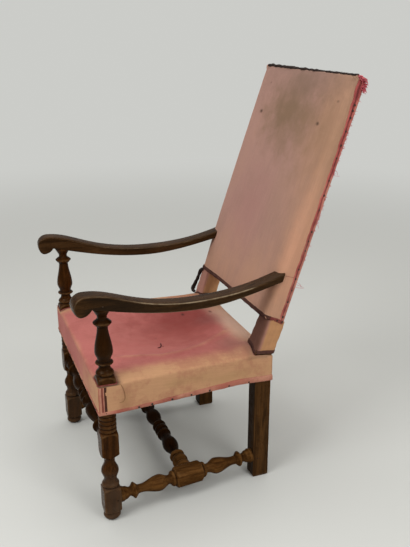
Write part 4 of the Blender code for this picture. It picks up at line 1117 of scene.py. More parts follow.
seat = {
    "columns": 92,
    "rows": 84,
    "edgeRound": 0.0075,
    "arcRings": 5,
    "skirtRings": 16,
    "edgeFront": 0.088,  # the cloth's edge above the rails' undersides
    "edgeRear": 0.079,
    "roll": 0.016,
    "dish": 0.022,
    "thick": 0.0016,
    "postGap": 0.0008,
    "settling": {"slack": 0.008, "most": 0.003, "frames": 22},
    "creases": [  # from, to, depth, width
        ((-0.123, -0.153), (0.109, -0.217), 0.0009, 0.004),
        ((-0.16, -0.30), (-0.02, -0.26), 0.0010, 0.010),
        ((-0.10, 0.02), (0.06, 0.12), 0.0012, 0.014),
        ((-0.20, -0.10), (-0.14, 0.08), 0.0012, 0.016),
        ((0.08, 0.10), (0.15, 0.02), 0.0014, 0.012),
    ],
    "fold": [(0.176, -0.300), (0.189, -0.212), (0.203, -0.152), (0.195, -0.090),
             (0.168, -0.023), (0.122, 0.048), (0.092, 0.092)],
    "foldHeight": 0.0062,
    "foldWidth": 0.0150,
    "foldCrestPale": 0.42,  # paler along its crest: painted highlight, with rubbed wear
    "rearLift": 0.010,  # the cloth rises where it is drawn up to each sleeve
    "farLift": 0.0065,  # and the far rear corner stands higher
    "rearDrop": 0.006,  # the hem hangs lower round the rear corners
    "tear": [(0.0850, -0.1195), (0.0930, -0.1215), (0.1020, -0.1235), (0.1110, -0.1265),
             (0.1200, -0.1310), (0.1255, -0.1365), (0.1240, -0.1415)],
    "spots": [(0.1130, -0.1205)],
}
spanY = (legFront + legRear) / 2 - frontY
seatRear = coverHigh[1] - 0.0014
seatFront = coverLow[1]


def seatHalf(y):
    behind = frontY + postHalf
    share = min(max((y - behind) / (legFront - behind), 0.0), 1.0)
    return lerp(coverHigh[0], rearX + rearHalf + stance["clothOut"], share)


def seatHem(y):
    return stance["seatBottom"] - stance["seatFall"] * (y - frontY) / spanY


def seatLow(y):
    return seatHem(y) - seat["rearDrop"] * smooth(y, 0.05, 0.155)


def toSegment(x, y, start, end):
    run = Vector((end[0] - start[0], end[1] - start[1]))
    away = Vector((x - start[0], y - start[1]))
    share = min(max(away.dot(run) / run.length_squared, 0.0), 1.0)
    return (away - run * share).length, share


def onFold(x, y, width):
    away = min(toSegment(x, y, start, end)[0] for start, end in zip(seat["fold"], seat["fold"][1:]))
    return math.exp(-(away / width) ** 2) * smooth(y, -0.33, -0.25) * smooth(-y, -0.15, -0.06)


def seatTop(x, y):
    toSide, toFront, toRear = seatHalf(y) - abs(x), y - seatFront, seatRear - y
    edge = seatHem(y) + lerp(seat["edgeFront"], seat["edgeRear"], (y - frontY) / spanY)
    puff = (1 - math.exp(-toSide / 0.025)) * (1 - math.exp(-toFront / 0.03)) * (1 - math.exp(-toRear / 0.02))
    hollow = smooth(toSide, 0.05, 0.25) * smooth(toFront, 0.05, 0.24) * smooth(toRear, 0.05, 0.24)
    height = edge + seat["roll"] * puff - seat["dish"] * hollow
    for start, end, depth, width in seat["creases"]:
        distance, share = toSegment(x, y, start, end)
        height -= depth * math.exp(-(distance / width) ** 2) * math.sin(math.pi * lerp(0.12, 0.88, share))
    height += seat["foldHeight"] * onFold(x, y, seat["foldWidth"])
    away = math.hypot(abs(x) - (rearX - rearHalf), y - kneeY)
    height += seat["rearLift"] * math.exp(-(away / 0.035) ** 2)
    height += seat["farLift"] * smooth(-x, 0.08, 0.25) * smooth(y, -0.12, 0.10)
    height += puff * (0.0016 * wander((x, y, 0), 11, 2) + 0.0007 * wander((x, y, 0), 34, 4))
    return height


def seatPlace(u, v):
    inset = seat["edgeRound"]
    y = lerp(seatFront + inset, seatRear - inset, v)
    x = u * (seatHalf(y) - inset)
    return Vector((x, y, seatTop(x, y))), (x, y)


def seatSkirt(u, v, ring):
    border, flat = seatPlace(u, v)
    bend, arcs = seat["edgeRound"], seat["arcRings"]
    turn = math.pi / 2 * min(ring / arcs, 1.0)
    inset = bend * (1 - math.sin(turn))
    y = lerp(seatFront + inset, seatRear - inset, v)
    x = u * (seatHalf(y) - inset)
    low = seatLow(y)
    drop = bend * (1 - math.cos(turn))
    height = border.z - drop
    if ring > arcs:
        height = lerp(border.z - bend, low, (ring - arcs) / (seat["skirtRings"] - arcs))
    way = Vector((u if abs(u) > 0.999 else 0.0, -1 if v < 0.001 else 1 if v > 0.999 else 0, 0))
    loose = 0.0007 * wander((x, y, height), 22, 8) * smooth(ring, arcs, arcs + 3) * smooth(height, low, low + 0.012)
    point = Vector((x, y, height)) + way * loose
    fall = border.z - height
    return point, (flat[0] + way.x * fall, flat[1] + way.y * fall)


def seatFade(point):
    toSide, toFront, toRear = seatHalf(point.y) - abs(point.x), point.y - seatFront, seatRear - point.y
    onSkirt = point.z < seatTop(point.x, min(max(point.y, seatFront + 0.008), seatRear - 0.008)) - 0.012
    if onSkirt and toFront < 0.004 and toSide > 0.004:
        return lerp(0.05, 1.0, smooth(point.x, 0.0, 0.29))
    if onSkirt:
        return 1.15
    edge = 1 - (smooth(toSide, 0.0, 0.095) if point.x > 0 else smooth(toSide, 0.02, 0.13))
    back = 1.1 * (1 - smooth(toRear, 0.0, 0.115))
    lip = 0.4 * (1 - smooth(toFront, 0.0, 0.018))
    # the fold's crest is painted paler: painted highlight, with rubbed wear
    return max(edge, back, lip) + seat["foldCrestPale"] * onFold(point.x, point.y, 0.010)


# the cloth is darker round the posts
def seatPostDarkening(point):
    if point.z < seatTop(point.x, min(max(point.y, seatFront + 0.008), seatRear - 0.008)) - 0.004:
        return 0.0
    marks = []
    posts = ((frontX, frontY, postHalf, postHalf, 1.15, 0.017),
             (rearX, (kneeY + legRear) / 2, rearHalf, (legRear - kneeY) / 2, 0.55, 0.03))
    for x, y, halfX, halfY, strength, reach in posts:
        away = math.hypot(max(abs(abs(point.x) - x) - halfX, 0.0), max(abs(point.y - y) - halfY, 0.0))
        marks.append(strength * (1 - smooth(away + 0.004 * wander(point, 60, 3), 0.001, reach)))
    return max(marks)


def seatHold(point):
    toEdge = min(seatHalf(point.y) - abs(point.x), point.y - seatFront, seatRear - point.y)
    return lerp(1.0, 0.4, smooth(toEdge, 0.012, 0.06))


def rearPostRings(side, grow, corner):
    seatLevel = stance["seatBottom"] - stance["seatFall"]
    rings = []
    for height in (-0.01, seatLevel):
        flat = rounded(rearX - rearHalf - grow, rearX + rearHalf + grow, legFront - grow, legRear + grow, corner)
        rings.append([Vector((side * x, y, height)) for x, y in flat])
    for along in (0.012, stance["backTop"]):
        middle = postMiddle(along)
        flat = rounded(middle - rearHalf - grow, middle + rearHalf + grow, -grow, postDepth(along) + grow, corner)
        rings.append([raked(side * x, depth, along) for x, depth in flat])
    return rings


def postCutters(grow):
    cutters = []
    for label, side in sides:
        half = postHalf + grow
        square = rounded(-half, half, -half, half, 0.0026)
        rings = [[Vector((side * frontX + x, frontY + y, z)) for x, y in square] for z in (0.0, 0.6)]
        for name, shape in (("front", rings), ("rear", rearPostRings(side, grow, 0.0026))):
            cutters.append(bareMesh(f"{name}Cutter_{label}", *loft(shape)))
    return cutters


def makeSeatCover():
    points, faces, flats = coverGrid(seat["columns"], seat["rows"], seat["skirtRings"], seatPlace, seatSkirt)
    cover = addCloth("seatCover", points, faces, roseLinen, "rose_cloth", ["seat_cover", "seat_stuffing"])
    layCloth(cover.data, flats)
    setMark(cover.data, "fade", [seatFade(point) for point in points])
    setMark(cover.data, "soilAndShade", [seatPostDarkening(point) for point in points])
    settle(cover, [seatHold(point) for point in points], **seat["settling"])
    thicken(cover, seat["thick"])
    cutBy(cover, postCutters(seat["postGap"]))
    cover.data.shade_smooth()
    makeSeatTear(cover)


# a small hooked tear whose edges stand up, and a nick beside it
def makeSeatTear(cover):
    points, faces = [], []
    nicks = [[(x, y), (x + 0.003, y - 0.001)] for x, y in seat["spots"]]
    for line in [seat["tear"]] + nicks:
        path = []
        for x, y in line:
            spot = cover.ray_cast(Vector((x, y, 0.6)), Vector((0, 0, -1)))[1]
            path.append(spot + Vector((0, 0, 0.0003)))
        tube(points, 0.0020, faces, path)
    addCloth("seatTear", points, faces, darkRed, "rose_cloth")


seatHemStrip = {
    "section": [(-0.0004, 0.0), (0.0009, 0.0002), (0.0014, 0.0024), (0.0012, 0.0074), (0.0007, 0.0118), (-0.0004, 0.0128)],
    "step": 0.004,
    "nearTacks": (0.233, 0.313, 0.439, 0.561, 0.682, 0.8125, 0.95),  # shares of the way back along a side
    "frontTacks": (0.05, 0.14, 0.26, 0.36, 0.45, 0.58, 0.66, 0.78, 0.87, 0.95),
}


def seatLoop(out, step):
    behind = frontY + postHalf
    corners = [(coverHigh[0], seatFront), (coverHigh[0], behind), (seatHalf(legFront), legFront),
               (seatHalf(seatRear), seatRear)]
    corners = [(-x, y) for x, y in reversed(corners)] + corners
    path, outs = [], []
    for (x, y), (nextX, nextY) in zip(corners, corners[1:] + corners[:1]):
        run = Vector((nextX - x, nextY - y, 0))
        away = Vector((run.y, -run.x, 0)).normalized()
        count = max(2, round(run.length / step))
        for i in range(count):
            spot = Vector((x, y, 0)) + run * (i / count)
            path.append(Vector((spot.x, spot.y, seatLow(spot.y))))
            outs.append(away)
    turned = []
    for i, away in enumerate(outs):
        mean = (outs[i - 1] + away).normalized()
        turned.append(mean / max(mean.dot(away), 0.5))
    return [spot + away * out for spot, away in zip(path, turned)], turned


def makeSeatHem():
    path, outs = seatLoop(0.0002, seatHemStrip["step"])
    ups = [Vector((0, 0, 1)) * lerp(0.8, 1.5, smooth(spot.y, -0.3, 0.12)) for spot in path]
    section = seatHemStrip["section"]
    points, faces = ribbon(path, outs, ups, section, looped=True, wobble=0.0007, seed=3.0)
    hem = addCloth("seatHem", points, faces, hemLinen, "rose_cloth")
    runs = [(i * seatHemStrip["step"], section[k][1]) for i in range(len(path)) for k in range(len(section))]
    layCloth(hem.data, runs)
    setMark(hem.data, "fade", [0.60 + 0.6 * wander(point, 18, 6) for point in points])
    setMark(hem.data, "soilAndShade", [0.35 if i % len(section) in (0, 5) else 0.0 for i in range(len(points))])
    behind = frontY + postHalf
    places = []
    for side in (1, -1):
        for share in seatHemStrip["nearTacks"]:
            y = lerp(seatFront, legFront, share)
            out = Vector((side, 0.1 * (y > behind), 0)).normalized()
            places.append((Vector((side * (seatHalf(y) + 0.0019), y, seatLow(y) + 0.0048)), out))
    for share in seatHemStrip["frontTacks"]:
        x = lerp(-coverHigh[0], coverHigh[0], share)
        places.append((Vector((x, seatFront - 0.0019, seatHem(seatFront) + 0.0042)), Vector((0, -1, 0))))
    for share in seatHemStrip["frontTacks"]:
        x = lerp(-seatHalf(seatRear), seatHalf(seatRear), share)
        places.append((Vector((x, seatRear + 0.0019, seatLow(seatRear) + 0.0055)), Vector((0, 1, 0))))
    tackHeads("seatTacks", places, 0.0030)


# the front cloth is turned round each corner, folded twice and nailed
cornerFold = {
    "section": [(-0.0003, 0.0012), (0.0009, 0.0022), (0.0011, 0.0055), (0.0010, 0.0085), (0.0001, 0.0096), (0.0001, 0.0130),
                (0.0012, 0.0140), (0.0013, 0.0152), (0.0012, 0.0165), (0.0000, 0.0173), (0.0000, 0.0232), (-0.0003, 0.0246)],
    # the low gaps beside the folds are darkest: painted shade, with dirt
    "soilAndShade": (0.45, 0.0, 0.0, 0.0, 0.6, 0.6, 0.0, 0.0, 0.4, 1.15, 1.15, 0.6),
    "fade": (0.0, 0.2, 1.0, 0.8, -0.2, -0.2, 0.5, 0.9, 0.4, -0.2, -0.2, 0.3),
    "step": 0.003,
    "arc": [(-0.303, 0.437), (-0.298, 0.427), (-0.295, 0.417), (-0.292, 0.406),
            (-0.292, 0.393), (-0.297, 0.383), (-0.308, 0.383)],
}


def makeSeatCorners():
    section = cornerFold["section"]
    backward = Vector((0, 1, 0))
    tacks, roots = [], []
    for label, side in sides:
        out = Vector((side, 0, 0))
        low, high = seatHem(seatFront) + 0.001, seatTop(coverHigh[0] - 0.008, seatFront + 0.016) - 0.006
        count = round((high - low) / cornerFold["step"])
        path = [Vector((side * (coverHigh[0] + 0.0002), seatFront, lerp(low, high, i / count))) for i in range(count + 1)]
        points, faces = ribbon(path, out, backward, section, wobble=0.0007, seed=6.0 + side)
        fold = addCloth(f"cornerFold_{label}", points, faces, hemLinen, "rose_cloth")
        layCloth(fold.data, [(section[i % len(section)][1], point.z) for i, point in enumerate(points)])
        fades = [cornerFold["fade"][i % len(section)] for i in range(len(points))]
        setMark(fold.data, "fade", [fade + 0.4 * wander(point, 30, 2) for fade, point in zip(fades, points)])
        setMark(fold.data, "soilAndShade", [cornerFold["soilAndShade"][i % len(section)] for i in range(len(points))])
        for height in (low + 0.004, low + 0.018, high - 0.006):
            tacks.append((Vector((side * (coverHigh[0] + 0.0006), seatFront + 0.0204, height)), out))
        points, faces = [], []
        path = [Vector((side * (seatHalf(y) + 0.0003), y, z)) for y, z in cornerFold["arc"]]
        tube(points, 0.0007, faces, path)
        addCloth(f"patchSeam_{label}", points, faces, tanThread, "rose_cloth")
        ring = rounded(-postHalf - 0.0012, postHalf + 0.0012, -postHalf - 0.0012, postHalf + 0.0012, 0.003, 3, 16)
        loop = [Vector((side * frontX + x, frontY + y, 0)) for x, y in ring]
        for spot in loop:
            spot.z = seatTop(spot.x, spot.y) + 0.0002
        middle = Vector((side * frontX, frontY, 0))
        outs = [Vector((spot.x - middle.x, spot.y - middle.y, 0)).normalized() for spot in loop]
        edge = [(-0.0014, -0.0008), (0.0006, -0.0006), (0.0013, 0.0004), (0.0002, 0.0016), (-0.0014, 0.0018)]
        points, faces = ribbon(loop, outs, Vector((0, 0, 1)), edge, looped=True, wobble=0.0007, seed=8.0 + side)
        addCloth(f"postFringe_{label}", points, faces, redThread, "rose_cloth")
        for spot, away in zip(loop, outs):
            roots.append((spot + Vector((0, 0, 0.0012)), (away + Vector((0, 0, 0.8))).normalized()))
    tackHeads("cornerTacks", tacks, 0.0018)
    fray("postFrays", roots, 31, (0.002, 0.006), 0.00025, 0.8, 0.3, redThread, "rose_cloth")


# back

back = {
    "columns": 78,
    "rows": 108,
    "edgeRound": 0.007,  # along the top and the bottom
    "sideRound": 0.022,
    "cornerRun": 0.02,  # share of the height over which one turns into the other
    "arcRings": 6,
    "skirtRings": 14,
    "pad": 0.0088,
    "crown": 0.005,
    "thick": 0.0016,
    "farDroop": 0.0065,
    "farThin": 0.45,
    "tight": 0.0010,  # the cloth draws in this far inside the posts' outer faces
    "thin": 0.0014,  # and this far inside their rear faces
    "settling": {"slack": 0.004, "most": 0.002, "frames": 22},
}
backLow = stance["backBottom"] - stance["clothOut"]
backHigh = stance["backTop"]


# the lower edge hangs a little at its far end
def backEdge(u):
    return backLow - back["farDroop"] * smooth(-u, 0.30, 1.0)


def backHalf(along):
    return postMiddle(along) + rearHalf - back["tight"]


def backRear(along):
    return postDepth(along) - back["thin"]


def backRound(v):
    return lerp(back["edgeRound"], back["sideRound"], smooth(min(v, 1 - v), 0.0, back["cornerRun"]))


def backPad(x, along):
    return back["pad"] * (1 - back["farThin"] * smooth(-x, 0.10, 0.25) * smooth(backLow + 0.22 - along, 0.0, 0.22))


def backFront(x, along):
    toSide, toLow, toHigh = backHalf(along) - abs(x), along - backEdge(x / backHalf(backLow)), backHigh - along
    puff = (1 - math.exp(-toSide / 0.03)) * (1 - math.exp(-toLow / 0.03)) * (1 - math.exp(-toHigh / 0.03))
    slack = 0.0016 * wander((x, along * 0.5, 0), 7, 3) + 0.0003 * wander((x, along * 0.4, 0), 26, 7)
    pulls = 0.0003 * math.sin(along * 95) * (1 - smooth(toSide, 0.005, 0.06))
    return -(backPad(x, along) + back["crown"] * puff + puff * slack + pulls * puff)


def backPlace(u, v):
    along = lerp(backEdge(u) + back["edgeRound"], backHigh - back["edgeRound"], v)
    x = u * (backHalf(along) - backRound(v))
    return raked(x, backFront(x, along), along), (x, along)


def backSkirt(u, v, ring):
    arcs = back["arcRings"]
    turn = math.pi / 2 * min(ring / arcs, 1.0)
    edgeIn = back["edgeRound"] * (1 - math.sin(turn))
    along = lerp(backEdge(u) + edgeIn, backHigh - edgeIn, v)
    x = u * (backHalf(along) - backRound(v) * (1 - math.sin(turn)))
    across = u if abs(u) > 0.999 else 0.0
    bend = backRound(v) if across else back["edgeRound"]
    border = lerp(backEdge(u) + back["edgeRound"], backHigh - back["edgeRound"], v)
    front = backFront(u * (backHalf(border) - backRound(v)), border)
    depth = front + bend * (1 - math.cos(turn))
    if ring > arcs:
        depth = lerp(front + bend, backRear(along), (ring - arcs) / (back["skirtRings"] - arcs))
    fall = depth - front
    up = -1 if v < 0.001 else 1 if v > 0.999 else 0
    return raked(x, depth, along), (x + across * fall, along + up * fall)


def backHold(flat):
    x, along = flat
    toEdge = min(backHalf(along) - abs(x), along - backLow, backHigh - along)
    return lerp(1.0, 0.6, smooth(toEdge, 0.018, 0.06))


def backFade(flat):
    x, along = flat
    toSide = backHalf(along) - abs(x)
    edge = 1 - smooth(toSide, -0.03, 0.19) if x > 0 else 0.5 * (1 - smooth(toSide, 0.002, 0.03))
    low = 1 - smooth(along, 0.15, 0.42)
    return min(0.18 + 0.85 * max(edge, low * 0.55), 1.1)


def makeBackCover():
    points, faces, flats = coverGrid(back["columns"], back["rows"], back["skirtRings"], backPlace, backSkirt)
    cover = addCloth("backCover", points, faces, dustyLinen, "dusty_cloth",
                     ["back_cover", "back_stuffing", "back_hessian"])
    layCloth(cover.data, flats)
    setMark(cover.data, "fade", [backFade(flat) for flat in flats])
    settle(cover, [backHold(flat) for flat in flats], **back["settling"])
    thicken(cover, back["thick"])
    cover.data.shade_smooth()


outside = {"columns": 40, "rows": 56, "thick": 0.0014, "slack": 0.0025, "gap": 0.0006}


def makeOutsideCover():
    rings = []
    for row in range(outside["rows"] + 1):
        ring = []
        for column in range(outside["columns"] + 1):
            u = 2 * column / outside["columns"] - 1
            along = lerp(backEdge(u), backHigh, row / outside["rows"])
            x = backHalf(along) * u
            toEdge = (backHalf(along) - abs(x), along - backLow, backHigh - along)
            free = math.prod(smooth(distance, 0.02, 0.12) for distance in toEdge)
            sag = free * (outside["slack"] * (0.3 + wander((x, along, 1), 5, 6)) - 0.002)
            ring.append(raked(x, backRear(along) + outside["gap"] + sag, along))
        rings.append(ring)
    points, faces = loft(rings, capped=False, closed=False)
    sheet = addCloth("outsideCover", points, faces, outsideLinen, "dusty_cloth", ["back_outside_cover"])
    wide = outside["columns"] + 1
    layCloth(sheet.data, [(point.x, (i // wide) * 0.013) for i, point in enumerate(points)])
    setMark(sheet.data, "fade", [0.6] * len(points))
    thicken(sheet, outside["thick"], 1)


edgeStrip = {
    "section": [(-0.0003, -0.0136), (0.0007, -0.0132), (0.0011, -0.0110), (0.0009, -0.0086), (0.0002, -0.0076),
                (0.0002, -0.0058), (0.0009, -0.0046), (0.0014, -0.0022), (0.0011, 0.0008), (-0.0003, 0.0014)],
    # the rolled rear part is paler: painted highlight along the fold
    "fade": (0.2, 0.1, 0.0, 0.0, 0.0, 0.0, 0.25, 0.55, 0.65, 0.65),
    "soilAndShade": {3: 0.5, 4: 0.9, 5: 0.9, 6: 0.3},  # in the groove
    "frayed": 0.6,
    "step": 0.004,
    "tacks": (0.104, 0.125, 0.153, 0.205, 0.26, 0.31, 0.40, 0.46, 0.52,
              0.61, 0.65, 0.69, 0.77, 0.81, 0.86, 0.91, 0.976),
}


# the folded red edge down each side of the back, nailed along its groove
def makeEdgeStrips():
    deep = Vector((0, cosRake, -sinRake))
    pick = random.Random(50)
    places, roots = [], []
    for label, side in sides:
        count = round((backHigh - backLow) / edgeStrip["step"])
        path, outs, ups = [], [], []
        for i in range(count + 1):
            along = lerp(backEdge(side), backHigh - 0.001, i / count)
            path.append(raked(side * (backHalf(along) + 0.0002), backRear(along), along))
            outs.append(Vector((side, 0, 0)))
            ups.append(deep)
        section = edgeStrip["section"]
        sizes = [lerp(1.0, 1.5, smooth(spot.z, 1.04, 1.20)) * (1 + 0.14 * wander(spot, 45, 3)) for spot in path]
        points, faces = ribbon(path, outs, ups, section, wobble=0.0014, seed=4.0 + side, sizes=sizes)
        strip = addCloth(f"edgeStrip_{label}", points, faces, edgeLinen, "rose_cloth")
        flats, fades, soils = [], [], []
        for i, point in enumerate(points):
            row, k = divmod(i, len(section))
            flats.append((section[k][1], row * edgeStrip["step"]))
            fades.append(edgeStrip["fade"][k] + lerp(0.45, -0.20, smooth(point.z, 0.6, 1.15)) + 0.5 * wander(point, 16, 2))
            soils.append(edgeStrip["soilAndShade"].get(k, 0.0) * (0.75 + 0.6 * wander(point, 38, 5)))
        layCloth(strip.data, flats)
        setMark(strip.data, "fade", fades)
        setMark(strip.data, "soilAndShade", soils)
        for share in edgeStrip["tacks"]:
            along = lerp(backHigh, backLow, share)
            spot = raked(side * (backHalf(along) + 0.0007), backRear(along) - 0.0066, along)
            places.append((spot, Vector((side, 0, 0))))
        away = (deep + Vector((side * 0.7, 0, 0.3))).normalized()
        for spot, share in zip(path, (pick.random() for _ in path)):
            if share < edgeStrip["frayed"] * smooth(spot.z, 0.5, 1.1):
                roots += [(spot + Vector((side * 0.0008, 0, 0)) + deep * pick.uniform(-0.002, 0.001), away)
                          for _ in range(3)]
    tackHeads("backTacks", places, 0.0031)
    fray("edgeFrays", roots, 51, (0.002, 0.007), 0.00045, 0.8, 0.3, pinkThread, "rose_cloth")


gimp = {
    "braid": [(-0.0003, -0.0042), (0.0014, -0.0040), (0.0022, -0.0024), (0.0018, -0.0006), (0.0017, 0.0006),
              (0.0022, 0.0024), (0.0014, 0.0040), (-0.0003, 0.0042)],
    "step": 0.0015,
    "plait": 0.0005,
    "overTop": 0.45,  # how far the top one leans to the front
    "corner": 0.014,  # how wide the bottom one turns round the corners
    "frays": 170,
    "sideTacks": (0.55, 0.94),
    "tuft": [  # behind the pad, below the top
        (0.002, 0.0), (0.010, -0.002), (0.020, -0.006), (0.024, -0.014), (0.022, -0.024),
    ],
}
forward = Vector((0, -cosRake, sinRake))
upward = Vector((0, sinRake, cosRake))


def makeTopGimp():
    reach = backHalf(backHigh) - 0.002
    lift = (forward * gimp["overTop"] + upward).normalized()
    across = (upward * gimp["overTop"] - forward).normalized()
    count = round(2 * reach / gimp["step"])
    path = [raked(lerp(0.022 - reach, reach, i / count), -back["pad"] + 0.0055, backHigh - 0.0004)
            for i in range(count + 1)]
    sizes = [lerp(2.2, 1.5, smooth(spot.x, -0.22, 0.12)) for spot in path]  # the far end is worn to a thick fuzz
    braid = ribbon(path, lift, across, gimp["braid"], plait=gimp["plait"], wobble=0.0012,
                   swell=0.5, seed=9.0, sizes=sizes)
    addCloth("topGimp", *braid, darkGimp, "gimp", ["back_top_gimp"])
    pick = random.Random(21)
    roots = []
    for _ in range(gimp["frays"]):
        root = pick.choice(path) + lift * 0.001 + across * pick.uniform(-0.004, 0.004)
        roots.append((root, (lift + across * pick.uniform(-1, 1)).normalized()))
    fray("topGimpFray", roots, 22, (0.002, 0.007), 0.00022, 0.7, 0.2, darkGimp, "gimp")
    roots = []
    for label, side in sides:  # the red edge is worn to a tuft at the top corners
        for depth, below in gimp["tuft"]:
            for _ in range(24):
                behind = depth + pick.uniform(-0.004, 0.004)
                root = raked(side * backHalf(backHigh), behind, backHigh + below + pick.uniform(-0.004, 0.002))
                roots.append((root, (Vector((side * 0.8, 0, 0)) + upward * 0.5 - forward * 0.5).normalized()))
    fray("cornerTufts", roots, 23, (0.004, 0.014), 0.0010, 0.9, 0.8, pinkThread, "rose_cloth")


def makeBottomGimp():
    reach = backHalf(backLow) + 0.0004
    level = backLow + 0.0052
    corner = gimp["corner"]
    bend = []
    for i in range(14):
        turn = math.pi / 2 * i / 13
        bend.append((corner * math.cos(turn) - corner, corner - corner * math.sin(turn), turn))
    spots = [(-reach - x, depth, Vector((-math.cos(turn), 0, 0)) + forward * math.sin(turn))
             for x, depth, turn in bend]
    count = round(2 * (reach - corner) / gimp["step"])
    spots += [(lerp(corner - reach, reach - corner, i / count), 0.0, forward) for i in range(1, count)]
    spots += [(reach + x, depth, Vector((math.cos(turn), 0, 0)) + forward * math.sin(turn))
              for x, depth, turn in reversed(bend)]
    path = [raked(x, depth - backPad(x, backLow) - 0.0004, level + backEdge(x / reach) - backLow)
            for x, depth, out in spots]
    wide = [(a, b * 1.5) for a, b in gimp["braid"]]
    braid = ribbon(path, [out for x, depth, out in spots], upward, wide, plait=gimp["plait"], wobble=0.0009,
                   swell=0.25, seed=13.0)
    addCloth("bottomGimp", *braid, brownGimp, "gimp", ["back_bottom_gimp"])
    tacks, roots = [], []
    for label, side in sides:
        start, end = corner - back["pad"], backRear(level) - 0.001
        out = Vector((side, 0, 0))
        count = round((end - start) / gimp["step"])
        hung = level + backEdge(side) - backLow
        path = [raked(side * reach, lerp(start, end, i / count), hung - 0.004 * i / count) for i in range(count + 1)]
        tape = [(a, b * 1.35) for a, b in gimp["braid"]]
        braid = ribbon(path, out, upward, tape, plait=0.0008, wobble=0.0014,
                       swell=0.3, seed=15.0 + side)
        addCloth(f"sideGimp_{label}", *braid, redThread, "gimp")
        tacks += [(raked(side * (reach + 0.0018), lerp(start, end, share), hung - 0.0035 * share), out)
                  for share in gimp["sideTacks"]]
        roots += [(spot + out * 0.001, (out - upward).normalized()) for spot in path[::2]]
    tackHeads("gimpTacks", tacks, 0.0028)
    fray("sideGimpFrays", roots, 41, (0.002, 0.006), 0.00022, 0.7, 0.3, redThread, "gimp")


# a slit at the near arm's end, and threads pulled out of the red edge
threads = {
    "slit": [(0.0051, 0.2717), (0.014, 0.2725), (0.0228, 0.2727), (0.032, 0.2730), (0.040, 0.2729)],  # depth, along
    "pulled": [(0.247, 0.004, 0.032), (0.255, -0.003, 0.026), (0.262, -0.012, 0.022),
               (0.585, 0.004, 0.022), (0.600, -0.012, 0.014), (0.44, -0.010, 0.012)],
}


def makeThreads():
    points, faces = [], []
    tube(points, 0.0006, faces, [raked(backHalf(along) + 0.0001, depth, along) for depth, along in threads["slit"]])
    addCloth("armSlit", points, faces, redThread, "dusty_cloth")
    points, faces = [], []
    for along, drop, length in threads["pulled"]:
        root = raked(backHalf(along) + 0.001, backRear(along) - 0.001, along)
        path = []
        for i in range(7):
            share = i / 6
            sway = Vector((0.004 * math.sin(3 * share), 0, 0))
            path.append(root - forward * length * share + upward * drop * share * share + sway)
        tube(points, 0.0005, faces, path)
    addCloth("pulledThreads", points, faces, pinkThread, "rose_cloth")


sleeve = {
    "outer": 0.0007,
    "inner": 0.0010,
    "margin": 0.0035,
    "corners": (0.006, 0.006, 0.004, 0.015),  # rear outer, rear inner, front inner, front outer
    "flare": 0.013,  # the front inner corner spreads where it meets the seat
    "draw": -0.0045,  # and less under the back
    "rings": 30,
    "gimpWidth": 0.0115,
    "loose": [(-0.243, 0.1240), (-0.258, 0.1185), (-0.2680, 0.1095), (-0.2690, 0.095), (-0.2690, 0.080), (-0.2745, 0.062),
              (-0.2800, 0.0460), (-0.2795, 0.0380), (-0.2720, 0.0330), (-0.258, 0.0330)],  # x, along
}


def sleeveRing(side, share):
    ring = []
    high = backEdge(side) + 0.002
    flat = rounded(-rearHalf - sleeve["inner"], rearHalf + sleeve["outer"], -sleeve["margin"],
                   postDepth(0.0) + sleeve["margin"] - back["thin"], sleeve["corners"], 5, 7)
    for x, depth in flat:
        y = min(kneeY + depth * cosRake, seatRear - 0.01)
        seatLevel = seatTop(min(rearX + x, seatHalf(y) - 0.0075), y) + 0.0006
        low = (seatLevel + depth * sinRake - stance["kneeHeight"]) / cosRake
        along = lerp(low, high, share)
        x -= lerp(sleeve["flare"], -sleeve["draw"], share) * smooth(-x, 0.0, rearHalf) * smooth(0.035 - depth, 0.0, 0.03)
        ring.append(raked(side * (postMiddle(along) + x), depth, along))
    return ring


def refined(knots):
    fine = []
    for knot, after in zip(knots, knots[1:]):
        steps = max(1, round((after - knot).length / gimp["step"]))
        fine += [knot.lerp(after, k / steps) for k in range(steps)]
    return fine


def makeSleeves():
    for label, side in sides:
        rings = [sleeveRing(side, i / sleeve["rings"]) for i in range(sleeve["rings"] + 1)]
        middles = [sum(ring, Vector()) / len(ring) for ring in rings]
        for ring, middle in zip(rings[1:], middles[1:]):
            for point in ring:
                out = (point - middle).normalized()
                point += out * (0.0009 * wander(point, 34, 3 + side) + 0.0005 * math.sin(point.z * 210 + point.x * 60))
        points, faces = loft(rings, capped=False)
        cover = addCloth(f"sleeve_{label}", points, faces, sleeveLinen, "dusty_cloth", [f"post_sleeve_{label}"])
        size = len(rings[0])
        layCloth(cover.data, [((i % size) * 0.004, (i // size) * 0.004) for i in range(len(points))])
        ways = [(point - middles[i // size]).normalized() for i, point in enumerate(points)]
        front = [smooth(-way.y, 0.42, 0.74) for way in ways]
        setMark(cover.data, "fade", [1.0 - share for share in front])
        shadeAndGrime = 1.0 if side > 0 else 0.15  # the near one's front face is darker: painted shade, with dirt
        setMark(cover.data, "soilAndShade", [shadeAndGrime * share * smooth(-way.x * side, -0.88, -0.60) for share, way in zip(front, ways)])
        thicken(cover, 0.0012)
        width = sleeve["gimpWidth"]
        base = sleeveRing(side, 0.0)
        fine = refined(base + base[:1])
        middle = sum(fine, Vector()) / len(fine)
        outs = []
        for i, spot in enumerate(fine):
            run = fine[(i + 3) % len(fine)] - fine[i - 3]
            out = Vector((run.y, -run.x, 0)).normalized()
            outs.append(out if out.dot(spot - middle) > 0 else -out)
        path = [spot + upward * width / 2 for spot in fine]
        stretch = [(a, b * width / 0.0084) for a, b in gimp["braid"]]
        braid = ribbon(path, outs, upward, stretch, looped=True, plait=gimp["plait"], wobble=0.0006, seed=17.0)
        addCloth(f"sleeveGimp_{label}", *braid, brownGimp, "gimp", [f"sleeve_gimp_{label}"])


